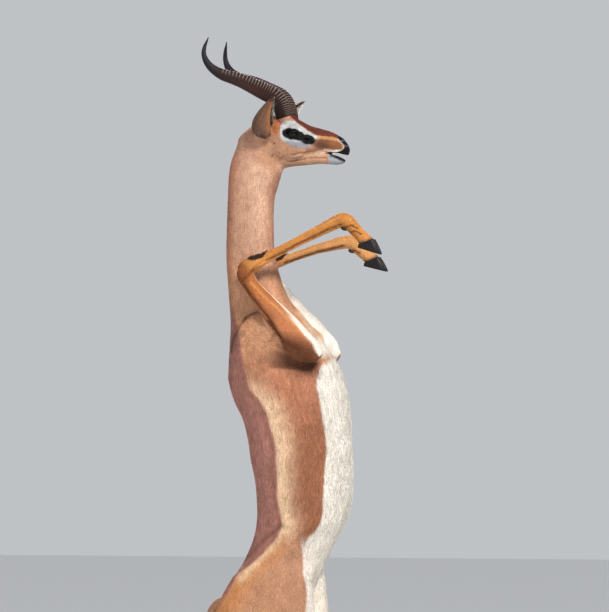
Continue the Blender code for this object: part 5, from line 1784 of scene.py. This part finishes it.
def noise(tree, where, scale, detail, roughness=0.55):
    made = tree.nodes.new("ShaderNodeTexNoise")
    made.inputs["Scale"].default_value = scale
    made.inputs["Detail"].default_value = detail
    made.inputs["Roughness"].default_value = roughness
    tree.links.new(where, made.inputs["Vector"])
    return made.outputs["Fac"]


def stretched(tree, source, scale):
    made = tree.nodes.new("ShaderNodeMapping")
    made.inputs["Scale"].default_value = scale
    tree.links.new(source, made.inputs["Vector"])
    return made.outputs["Vector"]


def ramp(tree, source, stops):
    made = tree.nodes.new("ShaderNodeValToRGB")
    made.color_ramp.elements[0].position, made.color_ramp.elements[0].color = stops[0][0], (*stops[0][1], 1)
    made.color_ramp.elements[1].position, made.color_ramp.elements[1].color = stops[-1][0], (*stops[-1][1], 1)
    for place, colour in stops[1:-1]:
        made.color_ramp.elements.new(place).color = (*colour, 1)
    tree.links.new(source, made.inputs["Fac"])
    return made.outputs["Color"]


def mixed(tree, first, second):
    """Two colours multiplied."""
    made = tree.nodes.new("ShaderNodeMix")
    made.data_type = "RGBA"
    made.blend_type = "MULTIPLY"
    made.inputs["Factor"].default_value = 1.0
    tree.links.new(first, made.inputs[6])
    tree.links.new(second, made.inputs[7])
    return made.outputs[2]


def bump(tree, shader, height, distance, strength):
    made = tree.nodes.new("ShaderNodeBump")
    made.inputs["Strength"].default_value = strength
    made.inputs["Distance"].default_value = distance
    tree.links.new(height, made.inputs["Height"])
    tree.links.new(made.outputs["Normal"], shader.inputs["Normal"])


def rough_between(tree, shader, source, low, high):
    made = tree.nodes.new("ShaderNodeMapRange")
    made.inputs["To Min"].default_value = low
    made.inputs["To Max"].default_value = high
    tree.links.new(source, made.inputs["Value"])
    tree.links.new(made.outputs["Result"], shader.inputs["Roughness"])


def object_place(tree):
    return tree.nodes.new("ShaderNodeTexCoord").outputs["Object"]


def attribute(tree, name):
    made = tree.nodes.new("ShaderNodeAttribute")
    made.attribute_name = name
    return made


def mottling(tree):
    """Broad clouds and small flecks, the same on skin and tufts."""
    place = object_place(tree)
    cloud = ramp(tree, noise(tree, place, 26, 3.0), ((0.3, (0.84, 0.82, 0.81)), (0.7, (1.10, 1.10, 1.10))))
    fleck = ramp(tree, noise(tree, place, 330, 2.0), ((0.32, (0.80, 0.77, 0.75)), (0.5, (1.0, 1.0, 1.0)),
                                                      (0.70, (1.14, 1.14, 1.14))))
    return mixed(tree, cloud, fleck)


def skin_look():
    """The coat's colour, with fine hair grain along its lie."""
    made, tree, shader = shader_of("skin_coat", 0.62, Specular_IOR_Level=0.09)
    colour = attribute(tree, "Coat").outputs["Color"]
    lie = attribute(tree, "Lie").outputs["Vector"]
    hair = noise(tree, stretched(tree, lie, (1500, 170, 40)), 1.0, 4.0, 0.6)
    shade = ramp(tree, hair, ((0.28, (0.70, 0.68, 0.66)), (0.5, (0.98, 0.98, 0.98)),
                              (0.75, (1.14, 1.14, 1.14))))
    tree.links.new(mixed(tree, mixed(tree, colour, shade), mottling(tree)), shader.inputs["Base Color"])
    bump(tree, shader, hair, 0.0006, 0.55)
    rough_between(tree, shader, hair, 0.50, 0.72)
    return made


def tuft_look():
    """The coat's colour on the tufts, with a fine unevenness."""
    made, tree, shader = shader_of("coat_hair", 0.58, Specular_IOR_Level=0.10)
    colour = attribute(tree, "Coat").outputs["Color"]
    grain = noise(tree, object_place(tree), 900, 2.0)
    shade = ramp(tree, grain, ((0.3, (0.90, 0.89, 0.88)), (0.7, (1.06, 1.06, 1.06))))
    tree.links.new(mixed(tree, mixed(tree, colour, shade), mottling(tree)), shader.inputs["Base Color"])
    rough_between(tree, shader, grain, 0.46, 0.66)
    return made


def horn_look():
    """Dark keratin with grain along the horn, tinted ring by ring, with painted highlights on the ring
    crests.
    """
    made, tree, shader = shader_of("horn_keratin", 0.5, Specular_IOR_Level=0.15)
    lie = attribute(tree, "Lie").outputs["Vector"]
    tint = attribute(tree, "Coat").outputs["Color"]
    grain = noise(tree, stretched(tree, lie, (900, 60, 1)), 1.0, 5.0, 0.65)
    shade = ramp(tree, grain, ((0.25, (0.5, 0.47, 0.45)), (0.55, (1.0, 1.0, 1.0)), (0.8, (1.5, 1.42, 1.35))))
    tree.links.new(mixed(tree, tint, shade), shader.inputs["Base Color"])
    bump(tree, shader, grain, 0.0008, 0.6)
    rough_between(tree, shader, grain, 0.44, 0.66)
    return made


def hoof_look():
    """Nearly black keratin with upright grain."""
    made, tree, shader = shader_of("hoof_keratin", 0.42, Specular_IOR_Level=0.16)
    place = object_place(tree)
    grain = noise(tree, stretched(tree, place, (500, 500, 90)), 1.0, 4.0)
    shade = ramp(tree, grain, ((0.3, (0.005, 0.0045, 0.005)), (0.6, (0.013, 0.011, 0.011)),
                               (0.85, (0.040, 0.031, 0.025))))
    tree.links.new(shade, shader.inputs["Base Color"])
    bump(tree, shader, grain, 0.0005, 0.5)
    rough_between(tree, shader, grain, 0.34, 0.58)
    return made


def eye_looks():
    """Eyeball, iris and pupil: nearly black, wet."""
    made = []
    for name, colours in (("eye_white", ((0.0025, 0.002, 0.002), (0.004, 0.003, 0.003))),
                          ("eye_iris", ((0.0025, 0.0015, 0.0012), (0.006, 0.0035, 0.0025))),
                          ("eye_pupil", ((0.001, 0.001, 0.0015), (0.003, 0.003, 0.004)))):
        look, tree, shader = shader_of(name, 0.06, Specular_IOR_Level=0.10, Coat_Weight=0.16,
                                       Coat_Roughness=0.03)
        grain = noise(tree, object_place(tree), 700, 3.0)
        tree.links.new(ramp(tree, grain, ((0.3, colours[0]), (0.7, colours[1]))), shader.inputs["Base Color"])
        rough_between(tree, shader, grain, 0.05, 0.10)
        made.append(look)
    return made


def base_look():
    """Grey board, a little cloudy."""
    made, tree, shader = shader_of("base_board", 0.6, Specular_IOR_Level=0.3)
    place = object_place(tree)
    grain = noise(tree, place, 260, 5.0, 0.6)
    cloud = noise(tree, place, 7, 3.0)
    shade = ramp(tree, grain, ((0.3, (0.80, 0.79, 0.77)), (0.7, (1.06, 1.06, 1.05))))
    tone = ramp(tree, cloud, ((0.3, (0.27, 0.26, 0.245)), (0.7, (0.33, 0.32, 0.30))))
    tree.links.new(mixed(tree, tone, shade), shader.inputs["Base Color"])
    bump(tree, shader, grain, 0.0006, 0.4)
    rough_between(tree, shader, cloud, 0.5, 0.7)
    return made


def floor_look():
    """A pale, matt studio floor."""
    made, tree, shader = shader_of("studio_floor", 0.8, Specular_IOR_Level=0.2)
    grain = noise(tree, object_place(tree), 40, 4.0)
    shade = ramp(tree, grain, ((0.3, (0.80, 0.80, 0.795)), (0.7, (0.85, 0.85, 0.845))))
    tree.links.new(shade, shader.inputs["Base Color"])
    bump(tree, shader, grain, 0.0004, 0.2)
    return made


# Horns, eyes and hooves.


def build_horn(side, look):
    """A horn with close rings at the foot, wider apart upwards, that end before the smooth tip."""
    rows = spline(on_side(HORN, side), 900)
    path = rows[:, :3]
    gap = np.linalg.norm(np.diff(path, axis=0), axis=1)
    share = np.concatenate([[0], np.cumsum(gap)]) / gap.sum()
    foot = Vector(mirrored(HORN_FOOT, side))
    start = float(np.interp(foot.z, path[:130, 2], share[:130]))
    places = np.concatenate([np.linspace(start - 0.012, HORN_RINGED_SHARE, 430),
                             np.linspace(HORN_RINGED_SHARE, 1.0, 90)[1:]])
    at = np.array([[np.interp(p, share, rows[:, c]) for c in range(5)] for p in places])
    ways = np.array([[np.interp(p, share, np.gradient(path[:, c])) for c in range(3)] for p in places])
    ways /= np.linalg.norm(ways, axis=1)[:, None]
    over = np.array([0.0, 1.0, 0.0]) - ways * ways[:, 1:2]
    over /= np.linalg.norm(over, axis=1)[:, None]
    deep = np.cross(ways, over)
    edges = start + 0.004 + (HORN_RINGED_SHARE - start) * np.linspace(0, 1, HORN_RINGS + 1) ** 1.35
    turns = np.linspace(0, 2 * math.pi, 40, endpoint=False)
    length = gap.sum()
    slant = 0.010 * np.cos(turns - 0.6) + 0.0012 * np.sin(3 * turns + 1)
    ring_at = np.interp(places[:, None] + slant[None], edges, np.arange(len(edges)), left=0, right=HORN_RINGS)
    phase = ring_at - np.floor(ring_at)
    crest = 0.66
    swell = np.where(phase < crest, clean_ease(phase / crest), clean_ease((1 - phase) / (1 - crest)))
    swell = swell * (ring_at > 0.01) * (ring_at < HORN_RINGS - 0.02)
    fade = np.minimum(1.0, 1.9 * (1 - places / HORN_RINGED_SHARE))
    ridge = 0.22 + 0.78 * clean_ease((0.45 - np.sin(turns)) / 1.1)
    ring_height = 0.0024
    height = ring_height * (0.35 + 0.65 * np.clip(fade, 0, 1))[:, None] * ridge[None]
    fine = 0.00016 * np.sin(turns * 17 + 5 * np.sin(places * 9)[:, None]) * np.ones_like(swell)
    bulk = swell * height + fine * (1 - places)[:, None] - 0.0004
    width = np.maximum(at[:, 4][:, None] + bulk, 0.0013)
    depth = np.maximum(at[:, 3][:, None] + bulk, 0.0013)
    small = np.clip((1 - places) / 0.008, 0, 1)[:, None] ** 0.5
    across = over[:, None] * (width * small + 0.0003)[:, :, None]
    forward = deep[:, None] * (depth * small + 0.0003)[:, :, None]
    rings = (at[:, None, :3] + np.cos(turns)[None, :, None] * across
             + np.sin(turns)[None, :, None] * forward)
    made = loft(f"horn_{word_of(side)}_detail", rings)
    mesh = made.data
    # Dark keratin, with painted highlights on the crests of the rings towards the horn's front.
    dark = np.array((0.017, 0.0075, 0.0065))
    crest_highlight = np.array((0.24, 0.165, 0.150))
    front = 0.03 + 0.97 * clean_ease((-0.15 - np.sin(turns)) / 0.6)
    shade = dark + (crest_highlight - dark) * (swell ** 6 * front[None] * 0.85)[:, :, None]
    brown = clean_ease(1 - np.abs(places - 0.40) / 0.26)[:, None] * clean_ease(np.sin(turns) + 0.5)[None]
    brown_tone, tip_tone = np.array((0.058, 0.021, 0.015)), np.array((0.010, 0.010, 0.016))
    shade = shade + (brown_tone - shade) * (0.55 * brown)[:, :, None]
    shade = shade + (tip_tone - shade) * clean_ease((places - 0.62) / 0.2)[:, None, None]
    shade = shade * (1 - 0.35 * clean_ease((0.12 - places) / 0.1))[:, None, None]
    paint(mesh, shade.reshape(-1, 3))
    layer = mesh.attributes.new("Lie", "FLOAT_VECTOR", "POINT")
    lie = np.stack(np.broadcast_arrays(np.sin(turns)[None] * 0.02, places[:, None] * length,
                                       np.cos(turns)[None] * 0.02), axis=-1)
    layer.data.foreach_set("vector", lie.reshape(-1, 3).astype(np.float32).ravel())
    finish_piece(made, look, "horn", f"horn_{word_of(side)}")


def finish_piece(made, look, slot, *nodes):
    """One material over the piece, smooth, on the root body, in place of the nodes named."""
    made.data.materials.clear()
    made.data.materials.append(look)
    made.data.polygons.foreach_set("material_index", np.zeros(len(made.data.polygons), np.int32))
    smooth_shaded(made)
    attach(made, "root")
    if nodes:
        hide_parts(*nodes)


def build_eye(side, looks):
    """An eyeball with a low cornea, a dark brown iris and a level oblong pupil."""
    word = word_of(side)
    made = ball(f"eyeball_{word}", (0, 0, 0), (1, 1, 1), 0, 96)
    mesh = made.data
    points = points_of(mesh)
    gaze = np.array((0.18, 0.98 * side, -0.06))
    gaze /= np.linalg.norm(gaze)
    flat = np.cross(gaze, (0, 0, 1.0))
    flat /= np.linalg.norm(flat)
    rise = np.cross(flat, gaze)
    facing = points @ gaze
    bulge = 1 + 0.035 * clean_ease((facing - 0.80) / 0.15)
    centre = np.array(mirrored(EYE_CENTRE, side))
    set_points(mesh, centre + points * (EYE_RADIUS - 0.0001) * bulge[:, None] ** 0.5)
    for look in looks:
        mesh.materials.append(look)
    middles = np.array([polygon.center[:] for polygon in mesh.polygons]) - centre
    middles /= np.linalg.norm(middles, axis=1)[:, None]
    reach = np.degrees(np.arccos(np.clip(middles @ gaze, -1, 1)))
    pupil = np.hypot((middles @ flat) / 0.36, (middles @ rise) / 0.17) < 1
    kind = np.where((middles @ gaze > 0) & pupil, 2, np.where(reach < 41, 1, 0))
    mesh.polygons.foreach_set("material_index", kind.astype(np.int32))
    smooth_shaded(made)
    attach(made, "root")
    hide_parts(f"eye_{word}")


def claw_rings(side):
    """One claw of a cloven hoof: toe to +X, sole on z = 0."""
    rows = spline(CLAW, 40)
    turn = np.linspace(0, 2 * math.pi, 32, endpoint=False)
    rings = []
    for x, middle, half, height in rows:
        lift = np.clip(0.42 + 0.66 * np.sin(turn), 0, 1.02)
        spread = side * (middle + max(0.0, x) * 0.10)
        rings.append(np.stack([np.full(32, x), spread + half * np.cos(turn), height * lift], axis=-1))
    return rings


def fore_hoof_turn(word):
    """How the hoof of a raised foot is turned."""
    slope = math.radians(FORE_SOLE_SLOPE[word])
    toe = Vector((math.cos(slope), 0, -math.sin(slope)))
    up = Vector((math.sin(slope), 0, math.cos(slope)))
    return Matrix((toe, Vector((0, 1, 0)), up)).transposed().to_4x4()


def block(place, size):
    """A box of this size round the middle of the place."""
    shape = bmesh.new()
    bmesh.ops.create_cube(shape, size=1, matrix=place @ Matrix.Diagonal((*size, 1)))
    return from_bmesh("block", shape)


def build_hoof(name, frame_at, coronet, lean, look, node):
    """A cloven hoof: two claws and a heel, cut level with its coronet."""
    hoof = loft(name, claw_rings(1))
    other = loft("claw", claw_rings(-1))
    heel = ball("heel", (-0.006, 0, 0.014), (0.0125, 0.012, 0.0125), 0, 32)
    boolean(hoof, [other, heel], "UNION")
    tip = Matrix.Translation(coronet) @ Matrix.Rotation(math.radians(-lean), 4, "Y")
    boolean(hoof, [block(tip @ Matrix.Translation((0, 0, 0.05)), (0.2, 0.2, 0.1))], "DIFFERENCE")
    hoof.data.transform(frame_at)
    finish_piece(hoof, look, "hoof", node)
    hoof.name = name


def foot_frames():
    """Every foot as (word, its hoof's frame, coronet in the hoof, lean)."""
    found = []
    for side, word in ((-1, "right"), (1, "left")):
        place = Matrix.Translation(mirrored(FORE_CORONET[word], side)) @ fore_hoof_turn(word)
        found.append((f"fore_{word}", place @ Matrix.Translation(-Vector(CORONET_IN_HOOF)), CORONET_IN_HOOF,
                      FORE_CORONET_LEAN))
        level = Matrix.Translation((0.001, side * HIND_HOOF_Y, GROUND))
        found.append((f"hind_{word}", level, (0, 0, HOOF_HEIGHT), 0))
    return found


def build_dewclaws(word, look):
    """The two small horny knobs behind a fetlock."""
    middle, down = DEWCLAWS[word]
    side = -1 if word.endswith("right") else 1
    pair = [ball("knob", (middle[0], side * middle[1] + aside, middle[2]), DEWCLAW_RADII, -down, 24)
            for aside in (-DEWCLAW_ASIDE, DEWCLAW_ASIDE)]
    finish_piece(joined(f"dewclaws_{word}", pair), look, "hoof")


def foot_cutters():
    """Blocks that end the skin just inside the top of each hoof."""
    made = []
    for _, place, coronet, lean in foot_frames():
        tip = place @ Matrix.Translation(coronet) @ Matrix.Rotation(math.radians(-lean), 4, "Y")
        made.append(block(tip @ Matrix.Translation((0, 0, -0.0335)), (0.07, 0.06, 0.064)))
    return made


def stage():
    """A pale floor, a faint even sky and three soft lamps."""
    half, level = 30, -0.0002
    corners = [(-half, -half, level), (half, -half, level), (half, half, level), (-half, half, level)]
    floor = mesh_object("floor", corners, [(0, 1, 2, 3)])
    floor.data.materials.append(floor_look())
    world = bpy.data.worlds.new("studio")
    world.use_nodes = True
    world.node_tree.nodes["Background"].inputs["Color"].default_value = (0.93, 0.96, 1.0, 1)
    world.node_tree.nodes["Background"].inputs["Strength"].default_value = 0.56
    bpy.context.scene.view_settings.view_transform = "Standard"
    bpy.context.scene.world = world
    for name, place, aim, size, power, colour in (
        ("key", (3.6, -4.2, 5.6), (0, 0, 1.4), 1.3, 640, (1.0, 0.965, 0.91)),
        ("fill", (-4.5, -4.0, 2.6), (0, 0, 1.3), 3.0, 60, (0.92, 0.96, 1.0)),
        ("back", (-2.0, 4.5, 4.5), (0, 0, 1.5), 2.0, 220, (1.0, 0.98, 0.95)),
    ):
        lamp = bpy.data.lights.new(name, "AREA")
        lamp.size = size
        lamp.energy = power
        lamp.color = colour
        made = linked(name, lamp)
        made.location = place
        made.rotation_euler = (Vector(aim) - Vector(place)).to_track_quat("-Z", "Y").to_euler()


def photo_camera():
    """13 m off at the height of the chest, turned up a little, with the photo's framing."""
    distance, height = 13.0, 1.30
    right = Vector((math.cos(CHART_TURN), math.sin(CHART_TURN), 0))
    back = Vector((math.sin(CHART_TURN), -math.cos(CHART_TURN), 0))
    aside = (FRAMING[0] / 2 - CHART_MIDDLE) * CHART_STEP
    middle = BASE_TOP + (CHART_FLOOR - FRAMING[1] / 2) * CHART_STEP
    lens = bpy.data.cameras.new("photo_camera")
    lens.sensor_width = 36
    lens.sensor_fit = "HORIZONTAL"
    lens.lens = lens.sensor_width * distance / (FRAMING[0] * CHART_STEP)
    lens.clip_end = 100
    made = linked("photo_camera", lens)
    made.location = right * aside + back * distance + Vector((0, 0, height))
    target = right * aside + Vector((0, 0, middle))
    made.rotation_euler = (target - made.location).to_track_quat("-Z", "Y").to_euler()
    bpy.context.scene.camera = made


def main():
    """Builds the pieces in the order in which they draw their random numbers, then the studio."""
    rng = np.random.default_rng(11)
    skin = whole_skin()
    hair = tuft_look()
    grow_coat(skin, hair, rng)
    tail_tuft(skin.data, hair, rng)
    knee_brushes(skin.data, hair, rng)
    ear_fringes(hair, rng)
    eyelashes(hair, rng)
    coronet_fringes(skin.data, hair, rng)
    finish_piece(skin, skin_look(), "pelt", *FLESH)
    horn, hoof, eye = horn_look(), hoof_look(), eye_looks()
    for side in (-1, 1):
        build_horn(side, horn)
        build_eye(side, eye)
    for word, place, coronet, lean in foot_frames():
        build_hoof(f"hoof_{word}_detail", place, coronet, lean, hoof, f"hoof_{word}")
        build_dewclaws(word, hoof)
    base = frame["nodes"]["stand_base"]
    base.data.materials.clear()
    base.data.materials.append(base_look())
    stage()
    photo_camera()


main()
